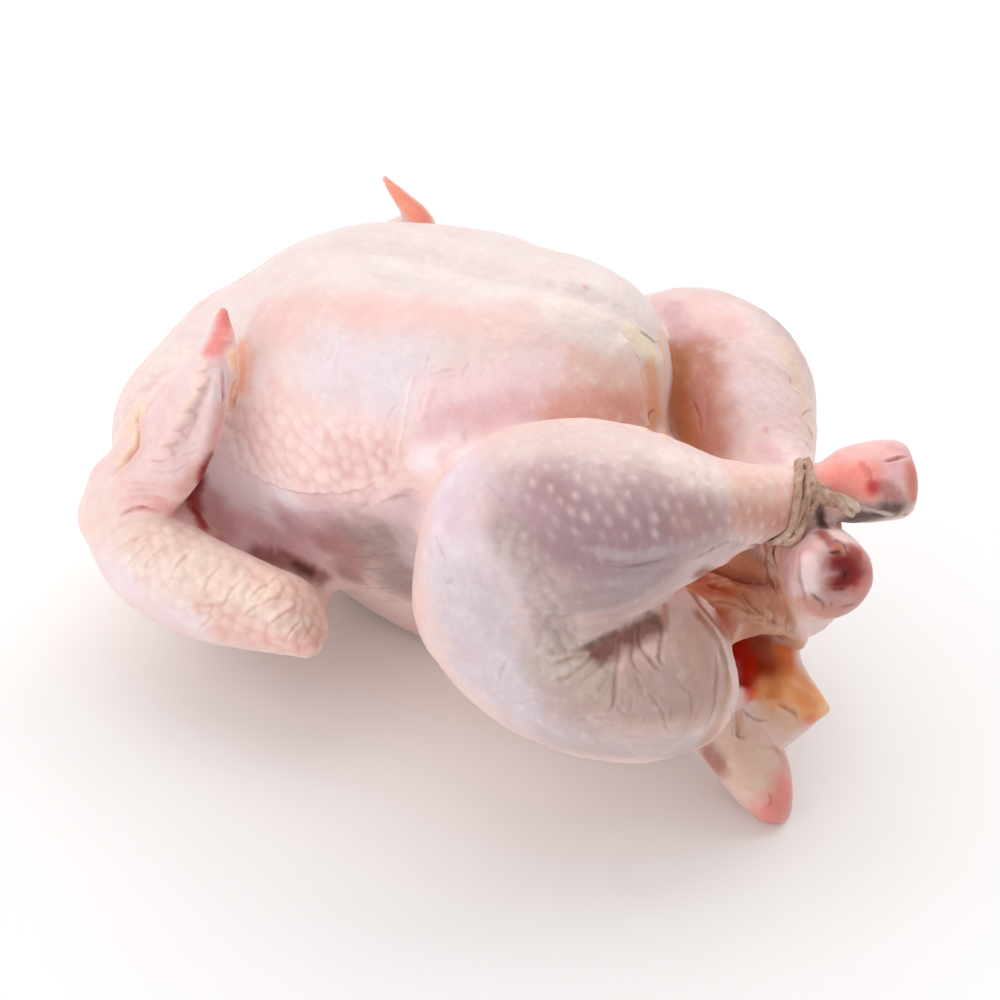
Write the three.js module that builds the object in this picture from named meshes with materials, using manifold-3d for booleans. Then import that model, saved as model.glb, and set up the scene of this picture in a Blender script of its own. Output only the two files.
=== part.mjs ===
// A whole raw chicken, oven-ready: it lies on its back with the breast up, the neck end towards -X
// and the tail towards +X. The drumsticks cross over the open tail end and a twine holds the ankles.
// Millimetres, +Z up, standing on Z = 0 with the origin under the middle of the whole.
//
// The bird is one implicit surface. Every muscle, bone end and skin fold is a field that is negative
// inside and positive outside, the fields melt into each other over a stated width, and the skin is
// where the sum is zero. Small parts are meshed with small cells and the rest with large ones.
//
// All places are in the bird's own frame: X = 0 at the tied ankles, Y = 0 in the keel's plane, with
// the bird's right side, the near one, at -Y. The finished group is moved over its origin at the end.
import * as THREE from "three";
import { edgeTable, triTable } from "three/addons/objects/MarchingCubes.js";
import { mergeVertices } from "three/addons/utils/BufferGeometryUtils.js";
import Module from "manifold-3d";

const wasm = await Module();
wasm.setup();

const v = (x, y, z) => new THREE.Vector3(x, y, z);

// ---- driving dimensions ----
const NEAR = -1;
const FAR = 1;
// Widths over which forms melt into each other: the larger, the softer the crease between them.
const MUSCLE_MELT = 14;
const THIGH_MELT = 12;
const BELLY_MELT = 10;
const TAIL_MELT = 8;
const WING_ARM_MELT = 6;
const CREASE_MELT = 4; // where a limb only lies against the body
const WING_FOLD_MELT = 3;
const TWINE_MELT = 1.2;
// Sizes of the mesh cells.
const BODY_CELL = 7.1; // large forms
const FINE_CELL = 3.2; // knuckles, wing tips and the tail end
const TWINE_CELL = 1.3;
const SNAP = 0.3; // share of a cell within which a vertex goes to the grid's corner
const SEAM = 0.4; // by which a fine region reaches into the coarse mesh
// The twine, its loop drawn tight round both ankles.
const STRAND = 1.5; // radius
const CLEARANCE = 0.9; // from the skin; the facets take up some of it
const LOOP_TURNS = 28; // points round the loop
const LOOP_HEART = v(-1.5, -2, 93.5);
const LOOP_REACH = { up: 24, across: 22 }; // where the loop's points start on their way in
const NEAR_ANKLE = { at: v(-2, -4, 101.5), across: v(0.39, -0.92, 0) };
const FAR_ANKLE = { at: v(-1, 0, 85), across: v(-0.6, -0.8, 0) };
const KNOT = v(2.8, -11, 108);
// Where the knuckles are sawn across and the back is pressed flat: a point and the outward normal.
const NEAR_KNUCKLE_CUT = { at: v(19, 19, 104), outward: v(0.75, 0.65, 0.1), size: 60 };
const FAR_KNUCKLE_CUT = { at: v(19, -24.5, 91), outward: v(0.66, -0.73, 0.16), size: 60 };
const FLOOR_CUT = { at: v(-90, 0, 0), outward: v(0, 0, -1), size: 400 };

// ---- fields ----
function melt(a, b, width) {
  const h = Math.max(width - Math.abs(a - b), 0) / width;
  return Math.min(a, b) - (h * h * width) / 4;
}
const FAR_AWAY = 1e3;
const meltAll = (fields, width) => (p) => fields.reduce((d, f) => melt(d, f(p), width), FAR_AWAY);
const carve = (a, b, width) => -melt(-a, b, width);

// An ellipsoid about `centre`, turned by Euler angles in degrees.
function lump(centre, radii, turn = [0, 0, 0]) {
  const [ax, ay, az] = turn.map(THREE.MathUtils.degToRad);
  const unturn = new THREE.Quaternion().setFromEuler(new THREE.Euler(ax, ay, az, "ZYX")).invert();
  const q = v(0, 0, 0);
  return (p) => {
    q.subVectors(p, centre).applyQuaternion(unturn);
    const k0 = Math.hypot(q.x / radii[0], q.y / radii[1], q.z / radii[2]);
    const k1 = Math.hypot(q.x / radii[0] ** 2, q.y / radii[1] ** 2, q.z / radii[2] ** 2);
    return k1 < 1e-9 ? -Math.min(...radii) : (k0 * (k0 - 1)) / k1;
  };
}

// A limb of changing thickness along a smooth line through stations [x, y, z, radius]. With `flat`,
// it is that much thinner along `normal`.
function limb(stations, flat = 1, normal = v(0, 0, 1)) {
  const steps = (stations.length - 1) * 4;
  const stops = stations.map(([x, y, z]) => v(x, y, z));
  const line = new THREE.CatmullRomCurve3(stops, false, "centripetal");
  const thickness = new THREE.SplineCurve(stations.map((s, i) => new THREE.Vector2(i, s[3])));
  const points = [];
  const radii = [];
  for (let i = 0; i <= steps; i++) {
    points.push(line.getPoint(i / steps));
    radii.push(thickness.getPoint(i / steps).y);
  }
  const n = normal.clone().normalize();
  const o = v(0, 0, 0);
  const s = v(0, 0, 0);
  return (p) => {
    let least = FAR_AWAY;
    for (let i = 0; i < steps; i++) {
      s.subVectors(points[i + 1], points[i]);
      o.subVectors(p, points[i]);
      const t = THREE.MathUtils.clamp(o.dot(s) / s.lengthSq(), 0, 1);
      o.addScaledVector(s, -t);
      const distance = Math.max(o.length(), 1e-3);
      o.addScaledVector(n, o.dot(n) * (1 / flat - 1));
      const stretched = Math.max(o.length(), 1e-6);
      const radius = radii[i] + (radii[i + 1] - radii[i]) * t;
      least = Math.min(least, (stretched - radius) * Math.min(1, distance / stretched));
    }
    return least;
  };
}

// A flat sheet of skin with the outline `corners`, in fan order round the first, `thick` mm to each side.
function slab(corners, thick) {
  const nearest = v(0, 0, 0);
  const fans = corners.slice(2).map((c, i) => new THREE.Triangle(corners[0], corners[i + 1], c));
  const distance = (fan, p) => fan.closestPointToPoint(p, nearest).distanceTo(p);
  return (p) => Math.min(...fans.map((fan) => distance(fan, p))) - thick;
}

// ---- the bird ----
const torso = meltAll(
  [
    lump(v(-122, 2, 59), [80, 47, 50]), // rib cage
    lump(v(-108, 3, 28.5), [64, 25, 30]), // back
    lump(v(-113, -21, 84), [62, 34, 45], [5, -9, -3]), // breast lobes
    lump(v(-113, 19, 82), [62, 34, 45], [-5, -9, 3]),
    lump(v(-86, 0, 94), [32, 37, 38], [0, -6, 0]), // tail end of the breast
    lump(v(-147, 0, 80), [41, 43, 39]), // neck end of the breast
    lump(v(-177, 0, 57), [35, 36, 37]), // crop
    lump(v(-184, -27, 57), [27, 24, 27]), // shoulders
    lump(v(-182, 27, 57), [27, 24, 27]),
    lump(v(-58, 0, 44), [44, 40, 36]), // hips and rump
  ],
  MUSCLE_MELT,
);
const belly = meltAll(
  [
    lump(v(-42, 3, 64), [28, 32, 29], [0, 24, 0]),
    lump(v(-15, 6, 56), [13, 26, 13]), // lip over the open tail end
    lump(v(-16, 3, 34), [14, 25, 17]), // walls of the opening
  ],
  THIGH_MELT,
);

const thighs = {
  near: meltAll(
    [
      limb([[-64, -54, 72, 24], [-47, -56, 62, 26.5], [-27, -50, 59.5, 26], [-14, -39, 54, 17.5]]),
      lump(v(-64, -54, 80), [22, 24, 33]), // knee
    ],
    MUSCLE_MELT,
  ),
  far: meltAll(
    [
      limb([[-66, 56, 64, 26], [-48, 54, 56, 27], [-28, 45, 50, 24], [-13, 35, 46, 18]]),
      lump(v(-67, 55, 72), [22, 26, 33]), // knee
    ],
    MUSCLE_MELT,
  ),
};

// Drumsticks from the knee to the knuckle. The near one crosses over the far one.
const shanks = {
  near: limb([
    [-63, -56, 92, 26.5],
    [-50, -52, 96.5, 28],
    [-33, -43, 102, 23],
    [-21, -32, 102.5, 16.5],
    [-10, -18, 102.5, 10],
    [-2, -4, 101.5, 8],
    [6, 7, 102, 10.5],
    [13, 14, 103, 11.5],
    [18, 18, 103.5, 11.5],
  ]),
  far: limb([
    [-66, 57, 78, 29],
    [-56, 54, 81, 32.5],
    [-42, 45, 81, 26.5],
    [-26, 31, 81, 17],
    [-12, 13, 83, 11.5],
    [-1, 0, 85, 9.5],
    [5, -8, 87, 10],
    [11, -16, 90, 11.5],
    [15, -22, 92, 12],
  ]),
};

// A wing folded against the flank: the upper arm runs back under the body, the forearm comes forward
// again beside it, and the flat hand stands up along the shoulder to its tip.
function wing(side, handEnd) {
  const upperArm = limb([[-176, 36 * side, 42, 15], [-148, 50 * side, 30, 12.5], [-122, 62 * side, 33, 10]]);
  const forearm = limb(
    [
      [-123, 68 * side, 40, 10.5],
      [-132, 70 * side, 40.5, 13.5],
      [-150, 71 * side, 40.5, 15.5],
      [-168, 70 * side, 41, 15],
      [-183, 66 * side, 43, 12],
    ],
    0.8,
    v(0, 1, 0),
  );
  const hand = limb(
    [[-182, 65 * side, 48, 13], [-172, 64 * side, 66, 13], [-166, 60 * side, 86, 11.5], ...handEnd],
    0.6,
    v(0.2, 1, 0.3 * side),
  );
  const web = lump(v(-186, 44 * side, 61), [8, 26, 20]);
  const armpit = lump(v(-174, 54 * side, 41), [16, 9, 10]);
  return meltAll([meltAll([upperArm, forearm], WING_ARM_MELT), hand, web, armpit], WING_FOLD_MELT);
}
const wings = {
  near: wing(NEAR, [[-163.5, -56, 98, 8.5], [-162, -51, 106, 6], [-166, -45, 115, 2.6]]),
  far: wing(FAR, [[-159, 56, 98, 8.5], [-155, 48, 109, 6.5], [-165, 45, 121, 3.4]]),
};

const tail = limb(
  [
    [-24, -3, 26, 18],
    [-4, -8, 15, 14],
    [5, -11, 10, 11.5],
    [11, -13, 6, 7.5],
    [15, -14, 3, 3.2],
  ],
  0.75,
  v(0.8, 0, 0.6),
);

// The open tail end: a hollow with a rim round its far side and a flap of skin like a spout below it.
const hollow = limb([[14, 1, 40, 9.5], [-6, 1, 41, 11.5], [-24, 1, 45, 16], [-62, 0, 52, 20]], 0.82);
const rim = limb([[-7, 21, 50, 5], [-4, 22, 41, 5], [0, 17, 32, 4.5], [4, 5, 26, 4]]);
const spout = slab([v(-1, 18, 34), v(16, 6, 28.5), v(9, -6, 20), v(-8, -4, 25), v(-9, 12, 28)], 2.2);
const lip = meltAll([spout, rim], CREASE_MELT);

function chickenField(p) {
  let d = torso(p);
  d = melt(d, belly(p), BELLY_MELT);
  d = melt(d, thighs.near(p), THIGH_MELT);
  d = melt(d, thighs.far(p), THIGH_MELT);
  d = melt(d, tail(p), TAIL_MELT);
  const limbs = [lip, shanks.near, shanks.far, wings.near, wings.far];
  for (const piece of limbs) d = melt(d, piece(p), CREASE_MELT);
  return carve(d, hollow(p), CREASE_MELT);
}

// ---- from a field to a closed mesh ----
// Marching cubes over `box`. A crossing close to a grid corner becomes that corner, which drops the
// slivers, and every vertex then moves along the field's slope onto the surface.
const CORNERS = [[0, 0, 0], [1, 0, 0], [1, 1, 0], [0, 1, 0], [0, 0, 1], [1, 0, 1], [1, 1, 1], [0, 1, 1]];
const EDGES = [[0, 1], [1, 2], [3, 2], [0, 3], [4, 5], [5, 6], [7, 6], [4, 7], [0, 4], [1, 5], [2, 6], [3, 7]];

function skinOf(field, box, cell) {
  const size = box.getSize(v(0, 0, 0));
  const [nx, ny, nz] = size.toArray().map((s) => Math.ceil(s / cell) + 1);
  const at = (i, j, k) => v(box.min.x + i * cell, box.min.y + j * cell, box.min.z + k * cell);
  const index = (i, j, k) => i + nx * (j + ny * k);
  const values = new Float64Array(nx * ny * nz);
  for (let k = 0; k < nz; k++)
    for (let j = 0; j < ny; j++) for (let i = 0; i < nx; i++) values[index(i, j, k)] = field(at(i, j, k));

  const vertices = [];
  const seen = new Map();
  const vertexOn = (cube, edge) => {
    const [a, b] = EDGES[edge].map((c) => CORNERS[c].map((s, axis) => s + cube[axis]));
    const fa = values[index(...a)];
    const fb = values[index(...b)];
    let t = fa / (fa - fb);
    if (t < SNAP) t = 0;
    if (t > 1 - SNAP) t = 1;
    const key = t === 0 ? `${a}` : t === 1 ? `${b}` : `${a}-${b}`;
    if (!seen.has(key)) {
      seen.set(key, vertices.length);
      vertices.push(at(...a).lerp(at(...b), t));
    }
    return seen.get(key);
  };

  const triangles = [];
  for (let k = 0; k < nz - 1; k++)
    for (let j = 0; j < ny - 1; j++)
      for (let i = 0; i < nx - 1; i++) {
        const inside = CORNERS.map(([x, y, z]) => values[index(i + x, j + y, k + z)] < 0);
        const pattern = inside.reduce((bits, yes, c) => bits + (yes ? 1 << c : 0), 0);
        if (!edgeTable[pattern]) continue;
        for (let n = pattern * 16; triTable[n] >= 0; n += 3) {
          const [a, b, c] = [0, 1, 2].map((m) => vertexOn([i, j, k], triTable[n + m]));
          if (a !== b && b !== c && c !== a) triangles.push(a, c, b);
        }
      }
  vertices.forEach((p) => settle(p, field, cell * 0.6));
  return solidFrom(new Float32Array(vertices.flatMap((p) => p.toArray())), new Uint32Array(triangles));
}

// Moves p onto the field's zero surface, by `most` at the most.
function settle(p, field, most) {
  const PROBE = 0.05; // step for measuring the slope
  const FLATTEST = 0.04; // below this squared slope the field says nothing about direction
  const from = p.clone();
  const slope = v(0, 0, 0);
  for (let turn = 0; turn < 3; turn++) {
    const d = field(p);
    for (const axis of ["x", "y", "z"]) {
      const q = p.clone();
      q[axis] += PROBE;
      slope[axis] = (field(q) - d) / PROBE;
    }
    const steep = slope.lengthSq();
    if (steep < FLATTEST) break;
    p.addScaledVector(slope, -d / steep);
  }
  const moved = p.clone().sub(from);
  if (moved.length() > most) p.copy(from).addScaledVector(moved, most / moved.length());
}

// ---- solids and meshes ----
function solidFrom(vertProperties, triVerts) {
  return new wasm.Manifold(new wasm.Mesh({ numProp: 3, vertProperties, triVerts }));
}

function solidOf(geometry) {
  const bare = geometry.clone().deleteAttribute("normal").deleteAttribute("uv");
  const merged = mergeVertices(bare, 1e-3);
  return solidFrom(merged.attributes.position.array, new Uint32Array(merged.index.array));
}

function geometryOf(solid) {
  const mesh = solid.getMesh();
  return new THREE.BufferGeometry()
    .setAttribute("position", new THREE.BufferAttribute(mesh.vertProperties, 3))
    .setIndex(new THREE.BufferAttribute(mesh.triVerts, 1));
}

// A block whose one face lies on the plane of a cut, on the side that its normal points to.
function blockBeyond({ at, outward, size }) {
  const block = new THREE.BoxGeometry(size, size, size / 2).translate(0, 0, size / 4);
  const turn = new THREE.Quaternion().setFromUnitVectors(v(0, 0, 1), outward.clone().normalize());
  return solidOf(block.applyQuaternion(turn).translate(at.x, at.y, at.z));
}

function blockOf(box, grow = 0) {
  const size = box.getSize(v(0, 0, 0)).addScalar(2 * grow);
  const centre = box.getCenter(v(0, 0, 0));
  return solidOf(new THREE.BoxGeometry(size.x, size.y, size.z).translate(centre.x, centre.y, centre.z));
}

// ---- the chicken: coarse all over, then each fine region put in place of the coarse mesh ----
const WHOLE = new THREE.Box3(v(-232, -106, -6), v(34, 106, 146));
const FINE_REGIONS = [
  new THREE.Box3(v(-16, -36, 72), v(34, 36, 122)), // the tied ankles and both knuckles
  new THREE.Box3(v(-180, -66, 92), v(-150, -34, 126)), // wing tips
  new THREE.Box3(v(-180, 34, 92), v(-150, 66, 130)),
  new THREE.Box3(v(-14, -30, -3), v(30, 34, 62)), // mouth of the hollow, flap and tail
];

function fineSkin(region) {
  const around = region.clone().expandByScalar(FINE_CELL * 2);
  const field = (p) => Math.max(chickenField(p), around.distanceToPoint(p) - 1);
  return skinOf(field, around.clone().expandByScalar(FINE_CELL * 2), FINE_CELL);
}

function chickenSolid() {
  let bird = skinOf(chickenField, WHOLE, BODY_CELL);
  for (const region of FINE_REGIONS) {
    const fine = fineSkin(region).intersect(blockOf(region, SEAM));
    bird = bird.subtract(blockOf(region)).add(fine);
  }
  for (const cut of [NEAR_KNUCKLE_CUT, FAR_KNUCKLE_CUT, FLOOR_CUT]) bird = bird.subtract(blockBeyond(cut));
  return bird;
}

// ---- the twine: one loop hugging both ankles, a knot on top of it and two short ends ----
// Walks from a point well outside straight towards the middle until the skin is `gap` away.
function drawnTight(from, middle, gap) {
  const p = v(0, 0, 0);
  for (let t = 0; t < 1; t += 0.005) {
    p.lerpVectors(from, middle, t);
    if (chickenField(p) < gap) break;
  }
  return p;
}

function loopPoints() {
  const points = [];
  for (let i = 0; i < LOOP_TURNS; i++) {
    const angle = (i / LOOP_TURNS) * 2 * Math.PI;
    const height = LOOP_HEART.z + LOOP_REACH.up * Math.sin(angle);
    const ankleRise = NEAR_ANKLE.at.z - FAR_ANKLE.at.z;
    const share = THREE.MathUtils.clamp((height - FAR_ANKLE.at.z) / ankleRise, 0, 1);
    const across = FAR_ANKLE.across.clone().lerp(NEAR_ANKLE.across, share).normalize();
    const from = FAR_ANKLE.at.clone().lerp(NEAR_ANKLE.at, share);
    from.addScaledVector(across, LOOP_REACH.across * Math.cos(angle)).setZ(height);
    points.push(drawnTight(from, LOOP_HEART, STRAND + CLEARANCE));
  }
  return points.map((p, i) => {
    const next = points[(i + 1) % LOOP_TURNS];
    return p.clone().multiplyScalar(2).add(points.at(i - 1)).add(next).multiplyScalar(0.25);
  });
}

function twineSolid() {
  const strand = (points) => limb(points.map((p) => [p.x, p.y, p.z, STRAND]));
  const loop = loopPoints();
  const closedLoop = strand([...loop, loop[0], loop[1]]);
  const knot = lump(KNOT, [3.6, 3, 2.6], [0, 20, -35]);
  const knuckleEnd = strand([KNOT, v(6.5, -8.5, 107.5), v(11, -5.5, 105.5), v(13.5, -5, 103)]);
  const shankEnd = strand([KNOT, v(3, -16.5, 107), v(3.6, -19.4, 102.5), v(3.2, -20.8, 98.5)]);
  const whole = meltAll([closedLoop, knot, knuckleEnd, shankEnd], TWINE_MELT);
  const field = (p) => Math.max(whole(p), CLEARANCE - chickenField(p));
  const ends = new THREE.Box3(v(-4, -26, 92), v(20, 0, 114));
  const box = new THREE.Box3().setFromPoints(loop).expandByScalar(8).union(ends);
  return skinOf(field, box, TWINE_CELL);
}

// ---- the scene graph ----
function skinMaterial() {
  return new THREE.MeshStandardMaterial({ color: 0xf3d6cd, roughness: 0.5, metalness: 0 });
}

function twineMaterial() {
  return new THREE.MeshStandardMaterial({ color: 0x9a7f66, roughness: 0.9, metalness: 0 });
}

const chicken = new THREE.Mesh(geometryOf(chickenSolid()), skinMaterial());
chicken.name = "chicken";
const twine = new THREE.Mesh(geometryOf(twineSolid()), twineMaterial());
twine.name = "twine";

const group = new THREE.Group();
group.add(chicken, twine);
const whole = new THREE.Box3().setFromObject(group);
group.position.set(-(whole.min.x + whole.max.x) / 2, -(whole.min.y + whole.max.y) / 2, -whole.min.z);
export default group;
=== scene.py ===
"""Looks of a whole raw chicken that lies on its back, its drumsticks crossed and tied with twine.

Everything is worked out in the bird's own frame, in millimetres: X = 0 at the tied ankles, Y = 0 in
the keel's plane, the bird's right side (the near one) at -Y. Only in_frame() gives a finished shape
in the row's frame, in metres. The bird is one implicit surface: muscles, bones and skin folds are
fields that are negative inside and melt into each other, and the skin is where the sum is zero.
Folds, feather follicles and wrinkles are then raised on that skin, and its colours painted on it.
"""

import math

import bmesh
import bpy
import numpy as np
import openvdb
from mathutils import Matrix, Vector
from mathutils.bvhtree import BVHTree
from mathutils.kdtree import KDTree


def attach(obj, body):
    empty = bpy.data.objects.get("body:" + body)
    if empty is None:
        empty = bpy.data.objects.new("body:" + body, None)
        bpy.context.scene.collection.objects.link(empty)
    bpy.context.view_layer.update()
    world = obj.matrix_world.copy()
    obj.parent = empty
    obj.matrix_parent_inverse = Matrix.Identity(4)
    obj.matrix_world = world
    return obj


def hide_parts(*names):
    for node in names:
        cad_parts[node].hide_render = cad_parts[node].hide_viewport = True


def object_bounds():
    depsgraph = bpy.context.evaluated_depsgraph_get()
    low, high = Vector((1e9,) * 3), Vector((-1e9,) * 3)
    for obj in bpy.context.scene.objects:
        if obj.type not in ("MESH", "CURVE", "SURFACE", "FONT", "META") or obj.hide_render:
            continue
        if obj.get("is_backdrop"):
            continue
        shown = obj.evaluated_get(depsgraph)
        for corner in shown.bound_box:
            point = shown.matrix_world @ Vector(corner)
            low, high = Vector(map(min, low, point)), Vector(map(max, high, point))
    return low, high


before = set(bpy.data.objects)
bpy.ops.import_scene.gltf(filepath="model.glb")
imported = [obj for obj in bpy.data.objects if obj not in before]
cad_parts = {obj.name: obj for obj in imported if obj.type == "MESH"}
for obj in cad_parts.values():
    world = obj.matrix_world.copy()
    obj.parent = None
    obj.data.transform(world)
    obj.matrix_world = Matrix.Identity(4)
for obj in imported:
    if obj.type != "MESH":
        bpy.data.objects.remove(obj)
cad_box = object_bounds()

# ---- driving dimensions ----
BIRD_ORIGIN = np.array([92.887, -1.911, 0.0])  # the tied ankles' place in the row's frame
NEAR, FAR = -1, 1
MUSCLE_MELT, THIGH_MELT, BELLY_MELT, TAIL_MELT = 14, 12, 10, 8
CREASE_MELT, WING_FOLD_MELT, ELBOW_MELT, SAW_MELT = 2.6, 2.6, 5, 4
KNEE_MELT, KNEE_SIDE, HOCK_SIDE = 12, -62, -38  # drumstick and thigh melt wide at the knee alone
CELL = 1.5  # of the skin's mesh where it is plainest
random = np.random.default_rng(20)

# ---- the camera: where it looks from, as angles round the ankles ----
IMAGE = 1000  # pixels a side
FOCAL = 2890  # pixels
TURN, RISE, ROLL = np.radians([23, 34, 9])
LOOK_AT = np.array([0, 0, 94.0])  # this point shows at LOOK_AT_PIXEL
LOOK_AT_PIXEL = (812, 515)
DISTANCE = 800
SENSOR = 36


def camera_axes():
    """Right, up and ahead, in the bird's frame."""
    ahead = np.array([-math.sin(TURN) * math.cos(RISE), math.cos(TURN) * math.cos(RISE), -math.sin(RISE)])
    level = np.array([math.cos(TURN), math.sin(TURN), 0])
    upright = np.cross(level, ahead)
    right = level * math.cos(ROLL) + upright * math.sin(ROLL)
    return right, np.cross(right, ahead), ahead


RIGHT, UP, AHEAD = camera_axes()


def ray_of(pixel):
    """The direction in which the camera sees a pixel."""
    x, y = (pixel[0] - IMAGE / 2) / FOCAL, (IMAGE / 2 - pixel[1]) / FOCAL
    return AHEAD + x * RIGHT + y * UP


EYE = LOOK_AT - DISTANCE * ray_of(LOOK_AT_PIXEL)


# ---- fields: each takes points (N, 3) and gives a value for each, negative inside ----
FAR_AWAY = 1e3
REACH = 18  # a field needs to be right only this close to its shape


def melt(a, b, width):
    """Both forms in one, their join rounded."""
    h = np.maximum(width - np.abs(a - b), 0) / width
    return np.minimum(a, b) - h * h * width / 4


def melt_all(fields, width):
    def field(p):
        d = fields[0](p)
        for f in fields[1:]:
            d = melt(d, f(p), width)
        return d

    return field


def overlap(a, b, width):
    """What two forms share, its edge rounded."""
    return -melt(-a, -b, width)


def within(low, high, inner):
    """Works `inner` out only for the points within REACH of a box, and calls the others far away."""

    def field(p):
        d = np.full(len(p), FAR_AWAY, np.float32)
        near = np.all((p > low - REACH) & (p < high + REACH), axis=1)
        if near.any():
            d[near] = inner(p[near])
        return d

    return field


def turned(degrees):
    """The matrix that turns by Euler angles, X first."""
    ax, ay, az = np.radians(degrees)
    rx = np.array([[1, 0, 0], [0, math.cos(ax), -math.sin(ax)], [0, math.sin(ax), math.cos(ax)]])
    ry = np.array([[math.cos(ay), 0, math.sin(ay)], [0, 1, 0], [-math.sin(ay), 0, math.cos(ay)]])
    rz = np.array([[math.cos(az), -math.sin(az), 0], [math.sin(az), math.cos(az), 0], [0, 0, 1]])
    return (rz @ ry @ rx).astype(np.float32)


def lump(centre, radii, turn=(0, 0, 0)):
    """An ellipsoid, turned by Euler angles in degrees."""
    matrix, size = turned(turn), np.array(radii, np.float32)
    centre = np.array(centre, np.float32)

    def inner(p):
        q = (p - centre) @ matrix
        k0 = np.linalg.norm(q / size, axis=1)
        k1 = np.maximum(np.linalg.norm(q / size**2, axis=1), 1e-6)
        return np.maximum(k0 * (k0 - 1) / k1, -min(radii))

    reach = max(radii)
    return within(centre - reach, centre + reach, inner)


def smooth_line(stations, steps):
    """Points on a smooth line through stations of any number of coordinates, `steps` a span."""
    s = np.array(stations, float)
    s = np.vstack([2 * s[0] - s[1], s, 2 * s[-1] - s[-2]])
    line = []
    for a, b, c, d in zip(s, s[1:], s[2:], s[3:]):
        gaps = [max(np.linalg.norm((q - p)[:3]) ** 0.5, 1e-3) for p, q in ((a, b), (b, c), (c, d))]
        out = ((b - a) / gaps[0] - (c - a) / (gaps[0] + gaps[1]) + (c - b) / gaps[1]) * gaps[1]
        into = ((c - b) / gaps[1] - (d - b) / (gaps[1] + gaps[2]) + (d - c) / gaps[2]) * gaps[1]
        for t in np.arange(steps) / steps:
            h = (1 - 3 * t**2 + 2 * t**3, 3 * t**2 - 2 * t**3, t - 2 * t**2 + t**3, t**3 - t**2)
            line.append(h[0] * b + h[1] * c + h[2] * out + h[3] * into)
    line.append(s[-2])
    return np.array(line)


def limb(stations, flat=1, normal=(0, 0, 1), steps=10):
    """A limb of changing thickness along a smooth line through stations [x, y, z, radius]. With
    `flat`, it is that much thinner along `normal`."""
    line = smooth_line(stations, steps).astype(np.float32)
    n = np.array(normal, np.float32)
    n /= np.linalg.norm(n)

    def inner(p):
        least = np.full(len(p), FAR_AWAY, np.float32)
        for a, b in zip(line, line[1:]):
            s = b[:3] - a[:3]
            o = p - a[:3]
            t = np.clip(o @ s / (s @ s), 0, 1)
            o -= t[:, None] * s
            distance = np.maximum(np.sqrt((o * o).sum(1)), 1e-3)
            stretched = distance
            if flat != 1:
                o += np.outer(o @ n * (1 / flat - 1), n)
                stretched = np.maximum(np.sqrt((o * o).sum(1)), 1e-3)
            radius = a[3] + (b[3] - a[3]) * t
            np.minimum(least, (stretched - radius) * np.minimum(1, distance / stretched), out=least)
        return least

    reach = line[:, 3].max()
    return within(line[:, :3].min(0) - reach, line[:, :3].max(0) + reach, inner)


def triangle_distance(p, a, b, c):
    """Distance to a triangle: to its edges, and to its plane for the points above its inside."""
    least = np.full(len(p), FAR_AWAY)
    n = np.cross(b - a, c - a)
    n /= np.linalg.norm(n)
    inside = np.ones(len(p), bool)
    for u, w in ((a, b), (b, c), (c, a)):
        s = w - u
        o = p - u
        t = np.clip(o @ s / (s @ s), 0, 1)
        least = np.minimum(least, np.linalg.norm(o - t[:, None] * s, axis=1))
        inside &= o @ np.cross(n, s) >= 0
    return np.where(inside, np.abs((p - a) @ n), least)


def sheet_of_skin(corners, thick):
    """A flat sheet with the outline `corners`, in fan order round the first, `thick` to each side."""
    c = np.array(corners, float)

    def inner(p):
        fans = [triangle_distance(p, c[0], c[i], c[i + 1]) for i in range(1, len(c) - 1)]
        return np.min(fans, axis=0) - thick

    return within(c.min(0), c.max(0), inner)


def beyond(point, outward):
    """The field of what lies on this side of a plane."""
    n = np.array(outward, float)
    n /= np.linalg.norm(n)
    return lambda p: (p - np.array(point)) @ n


# ---- the bird's forms ----
torso = melt_all(
    [
        lump((-122, 2, 62.5), (80, 45.5, 46)),  # rib cage
        lump((-108, 6, 28.5), (58, 23, 30)),  # back
        lump((-115.5, -21, 84), (58.5, 34, 45), (5, -9, -3)),  # breast lobes
        lump((-116, 18.5, 82.5), (57.5, 33.5, 45), (-5, -9, 3)),
        lump((-89.5, 1, 95), (30, 36, 37.5), (0, -6, 0)),  # tail end of the breast
        lump((-82, 18, 96.5), (23.5, 25, 30)),
        lump((-146, 2, 81.5), (41, 43, 40.5)),  # neck end of the breast
        lump((-175.5, 0, 57), (34, 35, 35)),  # crop
        lump((-182, -27, 57), (25.5, 22.5, 25)),  # shoulders
        lump((-182, 27, 57), (27, 24, 27)),
        lump((-58, 0, 44), (44, 40, 36)),  # hips and rump
        # skin between shoulder and wing, and the upper arms
        *[lump((-185, 42 * side, 60), (8, 24, 20)) for side in (NEAR, FAR)],
        *[
            limb([(-176, 36 * side, 36, 13), (-155, 45 * side, 27, 12.5), (-134, 45 * side, 24.5, 10)])
            for side in (NEAR, FAR)
        ],
    ],
    MUSCLE_MELT,
)
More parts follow.
